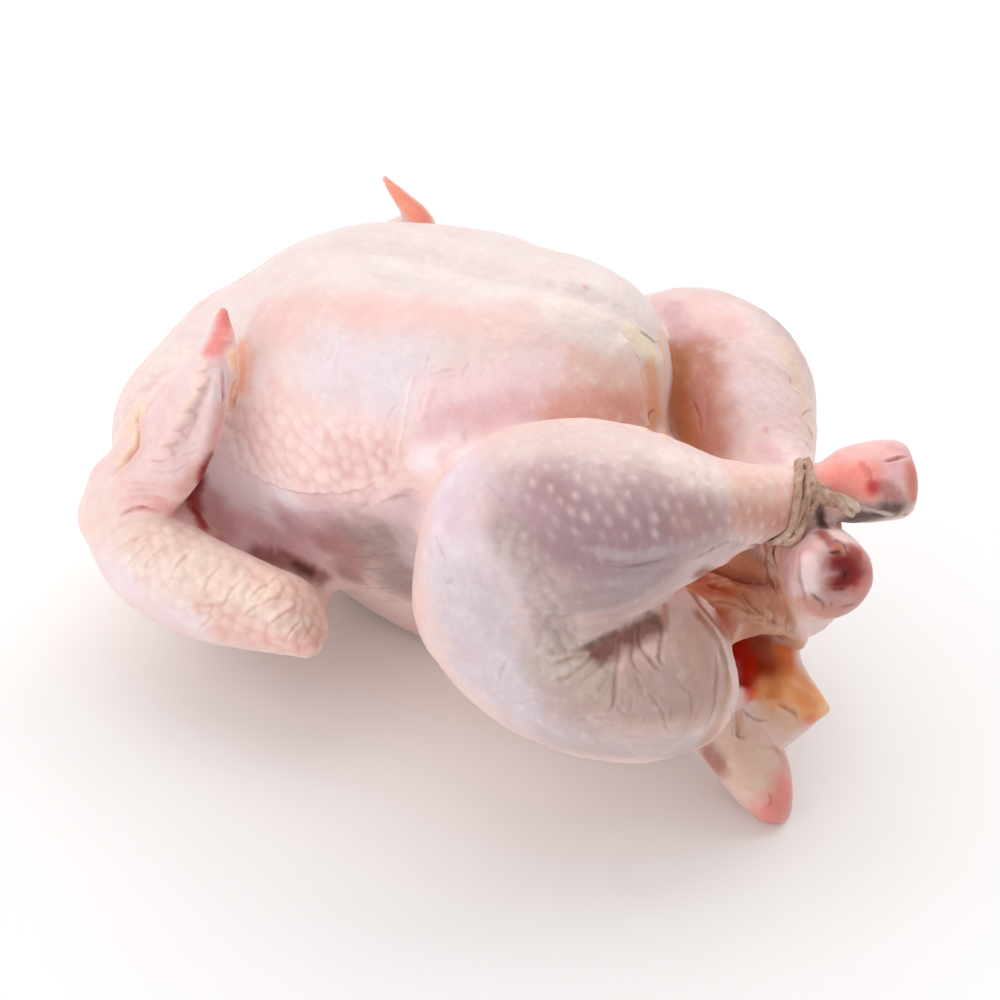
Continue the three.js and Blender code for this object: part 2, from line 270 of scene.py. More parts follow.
# the roll of skin over the open tail end, which hangs lower on the far side
brow = limb(
    [
        (-15, -22, 64.5, 5.5),
        (-13.5, -13.5, 61.5, 5.5),
        (-10, -5.5, 57, 5.3),
        (-5.5, 5.5, 50, 5.2),
        (-1.5, 12.5, 43.5, 4.5),
    ]
)
walls = lump((-17, 2, 35), (13, 22, 17))  # of the opening
belly = melt_all(
    [lump((-46, 1, 63), (26, 29, 28), (0, 24, 0)), lump((-20, 5, 57), (13, 25, 13)), brow, walls],
    THIGH_MELT,
)
near_thigh = melt_all(
    [
        limb([(-63, -54, 69, 25), (-47, -56, 62, 26.5), (-28, -50, 59, 26), (-16.5, -41, 51.5, 18)]),
        lump((-63, -54, 80), (20.5, 24, 32)),  # knee
    ],
    MUSCLE_MELT,
)
far_thigh = melt_all(
    [
        limb([(-66, 56, 64, 26), (-48, 54, 56, 27), (-28, 45, 50, 24), (-13, 35, 46, 18)]),
        lump((-67, 55, 72), (22, 26, 33)),  # knee
    ],
    MUSCLE_MELT,
)
near_shank = limb(
    [
        (-60, -56, 92, 25.5),
        (-49.5, -52, 98, 28.3),
        (-33, -43, 103, 21.8),
        (-21, -32, 104, 15),
        (-10, -18, 103.5, 10.3),
        (-2.5, -5, 102.5, 8),
        (3.5, 3.5, 102, 8.6),
        (9.5, 10.5, 103.3, 11.3),
        (18, 18.5, 104.3, 10.9),
    ]
)
far_shank = limb(
    [
        (-67.5, 57, 79.5, 28),
        (-55.5, 54, 82, 31.6),
        (-44, 45, 82, 26.3),
        (-27, 30, 81, 16.5),
        (-12, 13, 83, 11.5),
        (-1, 0, 85, 9.5),
        (5, -8, 87, 10),
        (11, -16, 90, 11.5),
        (15, -22, 92, 12),
    ]
)


def wing(side, hand_end):
    """A wing folded against the flank: the upper arm runs back under the body, the forearm comes
    forward again beside it, and the flat hand stands up along the shoulder to its tip."""
    forearm = limb(
        [
            (-120.5, 67 * side, 42.5, 12),
            (-134, 69.5 * side, 41.8, 13.6),
            (-151, 71 * side, 41.3, 15.8),
            (-168, 70 * side, 43, 15.8),
            (-183.5, 65 * side, 47, 12.3),
        ],
        0.8,
        (0, 1, 0),
    )
    elbow = beyond((-116.3, 0, 45), (0.84, 0, 0.54))
    hand = limb(
        [(-183, 65 * side, 56.5, 11.5), (-173, 64 * side, 68, 12.6), (-166, 60 * side, 86, 11.5), *hand_end],
        0.6,
        (0.2, 1, 0.3 * side),
    )
    armpit = lump((-174, 54 * side, 41), (16, 9, 10))
    return melt_all([lambda p: overlap(forearm(p), elbow(p), ELBOW_MELT), hand, armpit], WING_FOLD_MELT)


near_wing = wing(NEAR, [(-163.5, -56, 98, 8.2), (-163, -51, 106, 6), (-166, -45.5, 114.3, 1.8)])
far_wing = wing(FAR, [(-159, 56, 98, 8.2), (-156, 48, 109.5, 5.2), (-165.5, 44, 120.5, 1.3)])
tail = limb(
    [(-24, -1, 26, 15), (-4, -6.5, 15, 12.8), (5, -10.5, 10, 11.3), (11, -13, 6, 7.5), (15, -14, 3, 3.2)],
    0.75,
    (0.8, 0, 0.6),
)
hollow = melt_all(
    [
        limb([(-10, 0, 43, 12), (-26, 1, 46, 17), (-62, 0, 52, 20)], 0.82),
        lump((-5, -4, 43.5), (19, 17.5, 8.8), (-25, 0, 0)),  # its mouth
    ],
    CREASE_MELT,
)
rim = limb([(-5, 17, 46, 3.5), (-3.5, 16.5, 40, 3.3), (-1.5, 14, 33, 3.3), (3, 4, 26.5, 3.3)])
spout = sheet_of_skin([(-1, 16.5, 34), (15, 6, 28.5), (8.5, -5.5, 20.5), (-8, -4, 25), (-9, 12, 28)], 1.7)
lip = melt_all([spout, rim], CREASE_MELT)
near_cut = beyond((19, 19, 104), (0.75, 0.65, 0.1))  # where the knuckles are sawn across
far_cut = beyond((19, -24.5, 91), (0.66, -0.73, 0.16))
floor_cut = beyond((-90, 0, 0), (0, 0, -1))


def chicken_field(p):
    d = melt(torso(p), belly(p), BELLY_MELT)
    thighs = (near_thigh(p), far_thigh(p))
    for thigh in thighs:
        d = melt(d, thigh, THIGH_MELT)
    d = melt(d, tail(p), TAIL_MELT)
    for piece in (lip, near_wing, far_wing):
        d = melt(d, piece(p), CREASE_MELT)
    shanks = ((near_shank(p), near_cut), (far_shank(p), far_cut))
    at_knee = np.clip((HOCK_SIDE - p[:, 0]) / (HOCK_SIDE - KNEE_SIDE), 0, 1)
    for thigh, (shank, _) in zip(thighs, shanks):
        d = melt(d, melt(thigh, shank, CREASE_MELT + KNEE_MELT * at_knee), CREASE_MELT)
    d = overlap(d, -hollow(p), CREASE_MELT)
    for shank, cut in shanks:
        d = np.where(shank < REACH, overlap(d, cut(p), SAW_MELT), d)
    return np.maximum(d, floor_cut(p)).astype(np.float32)


# ---- from a field to a mesh ----
def grid_points(low, counts, cell):
    axes = [low[i] + np.arange(counts[i]) * cell for i in range(3)]
    return np.stack(np.meshgrid(*axes, indexing="ij"), axis=-1).astype(np.float32)


def quads_of(field, low, high, cell):
    """The field's zero surface as vertices and quads. The field is worked out on a coarse grid
    first, and on the fine one only in the blocks that the surface may cross."""
    block, band, batch = 4, 2 * cell, 400_000  # cells in a block's side, values kept, points at once
    low, wide = np.array(low, float), cell * block
    blocks = np.ceil((np.array(high) - low) / wide).astype(int)
    middles = grid_points(low + wide / 2, blocks, wide)
    coarse = field(middles.reshape(-1, 3)).reshape(blocks)
    values = np.where(coarse < 0, -band, band).astype(np.float32)
    values = values.repeat(block, 0).repeat(block, 1).repeat(block, 2)
    crossed = np.argwhere(np.abs(coarse) < wide * 1.25)
    inside = grid_points(np.zeros(3), (block,) * 3, 1).reshape(-1, 3).astype(int)
    cells = (crossed[:, None] * block + inside[None]).reshape(-1, 3)
    for part in np.array_split(cells, max(1, len(cells) // batch)):
        values[tuple(part.T)] = field((low + part * cell).astype(np.float32))
    grid = openvdb.FloatGrid(background=band)
    grid.copyFromArray(np.clip(values, -band, band), tolerance=0)
    points, quads = grid.convertToQuads(isovalue=0)
    return points * cell + low, quads


def largest_body(points, quads):
    """Drops loose scraps."""
    label = np.arange(len(points))
    while True:
        least = label[quads].min(1)
        new = label.copy()
        for corner in range(4):
            np.minimum.at(new, quads[:, corner], least)
        new = new[new]
        if (new == label).all():
            break
        label = new
    names, counts = np.unique(label, return_counts=True)
    keep = label == names[counts.argmax()]
    number = np.cumsum(keep) - 1
    return points[keep], number[quads[keep[quads].all(1)]]


def vertices_of(mesh):
    p = np.empty(len(mesh.vertices) * 3, np.float32)
    mesh.vertices.foreach_get("co", p)
    return p.reshape(-1, 3)


def normals_of(mesh):
    n = np.empty(len(mesh.vertices) * 3, np.float32)
    mesh.vertex_normals.foreach_get("vector", n)
    return n.reshape(-1, 3)


def middles_of(mesh):
    """The middle and the normal of each face."""
    middles, normals = np.empty((2, len(mesh.polygons) * 3), np.float32)
    mesh.polygons.foreach_get("center", middles)
    mesh.polygons.foreach_get("normal", normals)
    return middles.reshape(-1, 3), normals.reshape(-1, 3)


def set_vertices(mesh, p):
    mesh.vertices.foreach_set("co", p.astype(np.float32).ravel())
    mesh.update()


def settle(mesh, field, step=0.3):
    """Moves each vertex along its normal onto the field's zero surface."""
    flattest, steepest = 0.4, 2  # slopes that are trusted
    p, n = vertices_of(mesh), normals_of(mesh)
    d = field(p)
    rate = np.clip((field(p + step * n) - d) / step, flattest, steepest)
    set_vertices(mesh, p - n * np.clip(d / rate, -step * 3, step * 3)[:, None])


def split_faces(mesh, chosen):
    """Splits each chosen face in four."""
    bm = bmesh.new()
    bm.from_mesh(mesh)
    bm.faces.ensure_lookup_table()
    edges = {edge for i in np.flatnonzero(chosen) for edge in bm.faces[i].edges}
    bmesh.ops.subdivide_edges(bm, edges=list(edges), cuts=1, use_grid_fill=True)
    bm.to_mesh(mesh)
    bm.free()


def tree_of(mesh):
    faces = [tuple(face.vertices) for face in mesh.polygons]
    return BVHTree.FromPolygons(vertices_of(mesh).tolist(), faces)


def faces_near(mesh, spots, reach):
    """The faces within reach of any of the spots."""
    index = KDTree(len(spots))
    for i, spot in enumerate(spots):
        index.insert(spot, i)
    index.balance()
    middles = middles_of(mesh)[0]
    low, high = spots.min(0) - reach, spots.max(0) + reach
    near = np.all((middles > low) & (middles < high), axis=1)
    for i in np.flatnonzero(near):
        near[i] = index.find(middles[i])[2] < reach
    return near


def seen_faces(mesh, tree):
    """The faces that the camera sees, and those close to them."""
    slack = 4  # mm that a face may lie behind what the camera sees
    away = -0.2  # the cosine at which a face has turned away from the camera
    middles, normals = middles_of(mesh)
    seen = ((EYE - middles) * normals).sum(1) > away * DISTANCE
    eye = Vector(EYE)
    for i in np.flatnonzero(seen):
        ray = Vector(middles[i]) - eye
        distance = tree.ray_cast(eye, ray)[3]
        seen[i] = distance is None or distance > ray.length - slack
    return seen


def unit_rows(vectors):
    return vectors / np.linalg.norm(vectors, axis=1, keepdims=True)


# ---- noise ----
GRADIENTS = unit_rows(random.normal(size=(256, 3)))
HASH = (73856093, 19349663, 83492791)
NOISE_GAIN = 1.6  # brings the noise to about -1 to 1


def noise(p, size, offset=0.0):
    """Smooth noise from about -1 to 1 whose bumps are `size` mm across."""
    q = p / size + offset
    i = np.floor(q).astype(np.int64)
    f = q - i
    u = f * f * f * (f * (f * 6 - 15) + 10)
    total = np.zeros(len(p))
    for corner in np.ndindex(2, 2, 2):
        c = (i + corner) * HASH
        key = (c[:, 0] ^ c[:, 1] ^ c[:, 2]) & 255
        dot = (GRADIENTS[key] * (f - corner)).sum(1)
        total += dot * np.where(corner, u, 1 - u).prod(1)
    return total * NOISE_GAIN


def smoothstep(low, high, x):
    t = np.clip((x - low) / (high - low), 0, 1)
    return t * t * (3 - 2 * t)


def run_out(share, over):
    """1 along a line, falling to 0 over a share of it at each end."""
    return smoothstep(0, over, share) * smoothstep(1, 1 - over, share)


def bell(x):
    return np.exp(-x * x)


# ---- drawing on the skin: what is drawn is given by the pixels where the camera sees it ----
class Canvas:
    """The skin's vertices, with how far each is raised (mm) and its colour."""

    def __init__(self, mesh):
        self.mesh = mesh
        self.tree = tree_of(mesh)

    def prime(self):
        """Takes the mesh as it is now for drawing on."""
        self.p, self.n = vertices_of(self.mesh).astype(float), normals_of(self.mesh).astype(float)
        self.height = np.zeros(len(self.p))
        self.colour = np.tile(BASE, (len(self.p), 1))
        self.member = member_of(self.p)
        wide = [WOBBLE * noise(self.p, 4.5, 11 * axis) for axis in range(3)]
        narrow = [WOBBLE / 2 * noise(self.p, 1.8, 5 + 7 * axis) for axis in range(3)]
        self.wobbled = self.p + (np.stack(wide, 1) + np.stack(narrow, 1))
        self.index = KDTree(len(self.p))
        for i, spot in enumerate(self.p):
            self.index.insert(spot, i)
        self.index.balance()

    def under(self, pixel):
        """The skin's point and normal at a pixel, or None where the camera sees no skin."""
        place, normal, _, _ = self.tree.ray_cast(Vector(EYE), Vector(ray_of(pixel)))
        return None if place is None else (np.array(place), np.array(normal))

    def trail(self, text, mirrored=False):
        """Points with their normals on the skin, close together along a smooth line. The line is
        given as the text of its pixels x,y with spaces between them."""
        pixels = [[float(number) for number in pixel.split(",")] for pixel in text.split()]
        line = smooth_line(pixels, 6) if len(pixels) > 1 else np.array(pixels)
        found = [spot for spot in map(self.under, line) if spot is not None]
        if mirrored:
            flipped = [self.tree.find_nearest(Vector(spot * (1, -1, 1))) for spot, _ in found]
            found = [(np.array(spot), np.array(normal)) for spot, normal, _, _ in flipped]
        return np.array([spot for spot, _ in found]), np.array([normal for _, normal in found])

    def beside(self, trail, reach):
        """Of the vertices within reach of a trail: their numbers, their distance from it, which
        side they lie on (mm) and their share of the way along it."""
        spots, ups = trail
        near = np.all((self.p > spots.min(0) - reach) & (self.p < spots.max(0) + reach), axis=1)
        near &= belongs(self.member, set(member_of(spots)), self.p)
        at = np.flatnonzero(near)
        p = self.wobbled[at]
        if len(spots) == 1:
            distance = np.linalg.norm(p - spots[0], axis=1)
            facing = self.n[at] @ ups[0] > 0
            at, distance = at[facing], distance[facing]
            return at, distance, distance, np.full(len(at), 0.5)
        least = np.full(len(p), np.inf)
        side, share = np.zeros(len(p)), np.zeros(len(p))
        for k, (a, b, up) in enumerate(zip(spots, spots[1:], ups)):
            s = b - a
            length = max(s @ s, 1e-9)
            t = np.clip((p - a) @ s / length, 0, 1)
            o = p - a - t[:, None] * s
            distance = np.linalg.norm(o, axis=1)
            better = (distance < least) & (self.n[at] @ up > 0.1)
            least = np.where(better, distance, least)
            side = np.where(better, o @ np.cross(up, s / math.sqrt(length)), side)
            share = np.where(better, (k + t) / (len(spots) - 1), share)
        close = least < reach
        return at[close], least[close], side[close], share[close]

    def tint(self, at, shade, weight):
        weight = np.clip(weight, 0, 1)[:, None]
        self.colour[at] += (shade - self.colour[at]) * weight

    def groove(self, trail, width, depth, shade, strength):
        """A crease with a faint lip on each side, which runs out at its two ends. Its shade darkens the
        crease, partly as the folded skin's colour and partly as painted crease shade; it may be None, as a
        ridge's may."""
        at, distance, _, share = self.beside(trail, width * 4.5)
        run = run_out(share, 0.35)
        fade = run * np.clip(0.85 + 0.45 * noise(self.p[at], 3.5), 0.25, 1.15)
        size = distance / (width * (0.55 + 0.45 * run))
        self.height[at] -= depth * fade * (bell(size) - 0.3 * bell(size - 2.2))
        if shade is not None:
            self.tint(at, shade, strength * fade * bell(size / 1.25))

    def ridge(self, trail, width, height, shade, strength):
        """A rounded ridge, or a bump where the trail is a single point."""
        at, distance, _, share = self.beside(trail, width * 3)
        fade = run_out(share, 0.15) if len(trail[0]) > 1 else 1
        self.height[at] += height * fade * bell(distance / width)
        if shade is not None:
            self.tint(at, shade, strength * fade * bell(distance / width))

    def step(self, trail, height, fade_out):
        """The edge of a skin that lies on the skin beside it: the left of the trail is raised, and
        falls away slowly."""
        edge = 0.5  # mm to each side, in which it rises
        at, _, side, share = self.beside(trail, fade_out * 1.6)
        rise = smoothstep(-edge, edge, side) * bell(side / fade_out)
        self.height[at] += height * run_out(share, 0.15) * rise

    def patch(self, trail, radius, shade, strength):
        """A soft patch of colour round a trail, its edge broken up by noise."""
        at, distance, _, _ = self.beside(trail, radius * 1.5)
        ragged = distance / radius + 0.16 * noise(self.p[at], max(radius * 0.45, 1.2))
        self.tint(at, shade, strength * smoothstep(1.35, 0.25, ragged))

    def zone(self, trail, radius):
        """How much each vertex belongs to the skin round a trail, 0 to 1."""
        weight = np.zeros(len(self.p))
        at, distance, _, _ = self.beside(trail, radius * 1.4)
        weight[at] = smoothstep(1.35, 0.75, distance / radius + 0.15 * noise(self.p[at], 5))
        return weight

    def spread(self, weight, spacing):
        """Places at random in a zone that keep `spacing` mm apart."""
        least = 0.3  # a place's share in the zone
        taken, places = {}, []
        for i in random.permutation(np.flatnonzero(weight > least)):
            spot = self.p[i]
            cell = tuple(np.floor(spot / spacing).astype(int))
            around = [taken.get((cell[0] + x, cell[1] + y, cell[2] + z)) for x, y, z in NEIGHBOURS]
            if all(other is None or ((spot - other) ** 2).sum() > spacing**2 for other in around):
                taken[cell] = spot
                places.append(i)
        return places

    def blobs(self, places, reach):
        """For each place, the vertices round it within reach, and their offsets from it."""
        for i in places:
            at = np.array([k for _, k, _ in self.index.find_range(self.p[i], reach)])
            at = at[self.n[at] @ self.n[i] > 0.2]
            yield at, self.p[at] - self.p[i]

    def crinkles(self, weight, along, length, width, depth, shade, strength):
        """Fine branching wrinkles, `length` by `width` mm between them, that run `along` a direction. Their
        shade darkens each wrinkle, partly as painted crease shade.
        """
        at = np.flatnonzero(weight > 0)
        unit = along / np.linalg.norm(along)
        far = self.wobbled[at] @ unit
        across = self.wobbled[at] - np.outer(far, unit)
        crease = 1 - 3 * np.abs(noise(across / width + np.outer(far / length, unit), 1, length))
        crease = np.clip(crease, 0, 1) ** 2 * weight[at]
        self.height[at] -= depth * crease
        self.tint(at, shade, strength * crease)

    def follicles(self, weight, spacing, width, height, shade, strength, way):
        """Small bumps where feathers were, longer along `way` where it isn't None."""
        for at, offset in self.blobs(self.spread(weight, spacing), width * 4.5):
            if way is not None:
                unit = way / np.linalg.norm(way)
                offset = offset - np.outer(offset @ unit, unit) * 0.45
            size, share = width * random.uniform(0.8, 1.25), random.uniform(0.5, 1)
            bump = bell(np.linalg.norm(offset, axis=1) / size) * share
            self.height[at] += height * bump * weight[at]
            self.tint(at, shade, strength * bump * weight[at])

    def cobbles(self, weight, spacing, height, shade, strength):
        """Lumps that touch each other, as skin has over fat and round rows of follicles."""
        dome = np.zeros(len(self.p))
        for at, offset in self.blobs(self.spread(weight, spacing), spacing * 1.1):
            round_top = 1 - (np.linalg.norm(offset, axis=1) / (spacing * random.uniform(0.8, 1.1))) ** 2
            dome[at] = np.maximum(dome[at], round_top)
        inside = np.flatnonzero(weight > 0)
        self.height[inside] += height * (dome[inside] - 0.6) * weight[inside]
        self.tint(inside, shade, strength * smoothstep(0.4, 1, dome[inside]) * weight[inside])


NEIGHBOURS = [(x - 1, y - 1, z - 1) for x, y, z in np.ndindex(3, 3, 3)]
WOBBLE = 0.35  # how far lines stray from where they are drawn, mm
LEGS = ({1, 2}, {3, 4})  # thigh and drumstick of each leg, by the numbers of member_of()


def member_of(p):
    """The number of the form that each point of the skin belongs to. Forms meet in creases, and what
    is drawn on one doesn't spill on the next."""
    p = np.asarray(p, np.float32)
    body = np.minimum(np.minimum(torso(p), belly(p)), lip(p))
    legs = [near_thigh(p), near_shank(p), far_thigh(p), far_shank(p)]
    return np.argmin([body, *legs, near_wing(p), far_wing(p), tail(p)], axis=0)


def belongs(member, wanted, p):
    """Whether points lie on one of the wanted forms. At the knee, drumstick and thigh are one."""
    same = np.isin(member, list(wanted))
    for leg in LEGS:
        if wanted & leg:
            same |= np.isin(member, list(leg)) & (p[:, 0] < HOCK_SIDE)
    return same


# ---- colours ----
def srgb(code):
    """Linear red, green and blue of a colour written as six hexadecimal digits."""
    c = np.array([int(code[i : i + 2], 16) for i in (0, 2, 4)]) / 255
    return np.where(c <= 0.04045, c / 12.92, ((c + 0.055) / 1.055) ** 2.4)


BASE = srgb("f0d3cc")

# ---- the skin ----
BIRD_LOW, BIRD_HIGH = (-226, -100, -4), (32, 100, 142)


def bare_skin():
    """The bird's smooth form as a mesh, finer where the camera sees it."""
    points, quads = largest_body(*quads_of(chicken_field, BIRD_LOW, BIRD_HIGH, CELL))
    mesh = bpy.data.meshes.new("chicken_skin")
    mesh.from_pydata(points.tolist(), [], quads.tolist())
    split_faces(mesh, seen_faces(mesh, tree_of(mesh)))
    settle(mesh, chicken_field)
    return mesh


skin_mesh = bare_skin()
canvas = Canvas(skin_mesh)

# ---- what is drawn, as the pixels that it passes through in the camera's view ----
# A line is written as its pixels x,y, and a semicolon parts one line from the next. The lists whose
# names start with BOTH are drawn on the far side as well.
# Patches of colour: radius (mm), shade, strength, lines
BOTH_PATCHES = [
    # flank, from the wing to the knee
    # painted light: near-white where the hand's shadow falls on the flank
    (17, "fdf0f6", 1, "232,480 262,500 285,508"),
    (11, "dabcc1", 0.85, "328,508 350,505 385,500"),
    (8, "ecc3cb", 0.85, "238,532 275,540 305,543"),
    (8, "c39aa2", 0.8, "290,522 312,528 335,530"),
    (13, "9c847f", 0.9, "360,548 392,545 404,585"),
    (7, "b07f7d", 0.85, "325,545 345,548 350,575"),
    # painted shade: dark brown where the flank dips in under the wing
    (3.6, "94504a", 0.8, "258,553 288,562 322,576"),
    (1.8, "5a2419", 0.8, "296,565 311,573"),
    (5, "cdb9c2", 0.6, "412,505 408,530 410,560"),
    # knee
    (14, "e8d6e1", 0.95, "455,480 450,520 448,560"),
    (6, "fdf0f8", 0.9, "425,458 436,450 455,443"),
    (5, "dcc4d6", 0.5, "448,500 453,522"),
    # drumstick
    (23, "d8c0c3", 0.95, "530,490 600,520 670,530"),
    (9, "e6cec8", 0.9, "510,440 600,436 660,452"),
    (8, "f8e2dc", 0.9, "680,466 715,476"),
    # the drumstick's front and lower side: mauve of the muscle under the skin, partly painted shade
    (17, "b08d94", 0.95, "550,515 595,540 645,540"),
    (8, "a3868e", 0.6, "560,545 590,555 620,580"),
    (9, "ac9799", 0.85, "585,600 620,595 655,575"),
    (8, "b99290", 0.75, "690,520 715,520"),
    (8, "f6c6b6", 0.9, "745,484 768,488 785,495"),
    (5, "dc9c8a", 0.8, "742,514 768,518 785,520"),
    (4, "cdb8b8", 0.7, "592,627 650,597 700,567 735,547"),
    (6.5, "ab9592", 0.85, "508,533 530,572 547,608 556,640"),
    # painted highlight: a pale streak of moist sheen along the drumstick
    (1.8, "c3b1b3", 0.75, "598,551 625,556 655,553 690,546 716,537"),
    (1.6, "bba8aa", 0.5, "585,585 612,583 650,578"),
    # thigh
    (19, "d3c7ce", 0.95, "470,600 490,660 550,715"),
    (15, "bca097", 0.9, "590,690 640,700 690,690"),
    (8, "bfae9f", 0.65, "545,662 575,665 595,680"),
    (10, "c8a294", 0.8, "697,645 707,690"),
    (8, "c8babc", 0.85, "560,740 630,752 690,748"),
    # painted shadow: dark brown where the drumstick's edge overhangs the thigh
    (4.2, "6e2c1e", 0.85, "600,652 630,637 655,622"),
    (6, "d7b3a4", 0.6, "680,620 690,660"),
    (3.0, "a5683e", 0.85, "700,616 716,636 725,658 728,684"),
    (4, "c69678", 0.6, "728,690 720,716 708,738"),
    (1.6, "b87660", 0.6, "665,606 666,622"),
    # wing
    (15, "e8cac8", 0.9, "150,372 118,430"),
    (26, "eacdce", 0.95, "195,390 160,440 130,490"),
    (24, "eed4ca", 0.95, "120,545 190,575 260,605"),
    (4, "ecd8c8", 0.5, "142,378 165,352"),
    (3.6, "f3d6bd", 0.75, "135,410 134,438 122,460"),
    (6, "eec2c0", 0.7, "125,498 150,498 172,500"),
    (4, "e2a3a0", 0.6, "160,509 182,508"),
    # painted shade along the hand's edge, beside the gap
    (3.2, "dc9b8c", 0.65, "219,412 212,440 200,468 184,488"),
    (7, "ecccc0", 0.75, "155,535 195,552 240,572"),
    (6, "f8cdbf", 0.8, "262,580 285,588 303,596"),
    (4, "fae0cc", 0.5, "205,580 235,590 262,600"),
    (9, "eedde3", 0.85, "110,570 140,600 190,625"),
    (5.5, "ebb3ae", 0.8, "225,628 265,640 300,645"),
    (3, "e3aaa2", 0.5, "200,607 222,609 242,612"),
    (4, "e8bfac", 0.7, "314,612 320,640"),
    (2.6, "8f1c1a", 0.95, "208,457 200,480 192,498"),
    (3.0, "a42220", 0.95, "194,503 198,514 204,525"),
    (5.5, "c68c8e", 0.6, "212,500 216,515 222,528"),
    (1.8, "fdc8a4", 0.6, "231,352 234,368 234,385 230,402"),
]
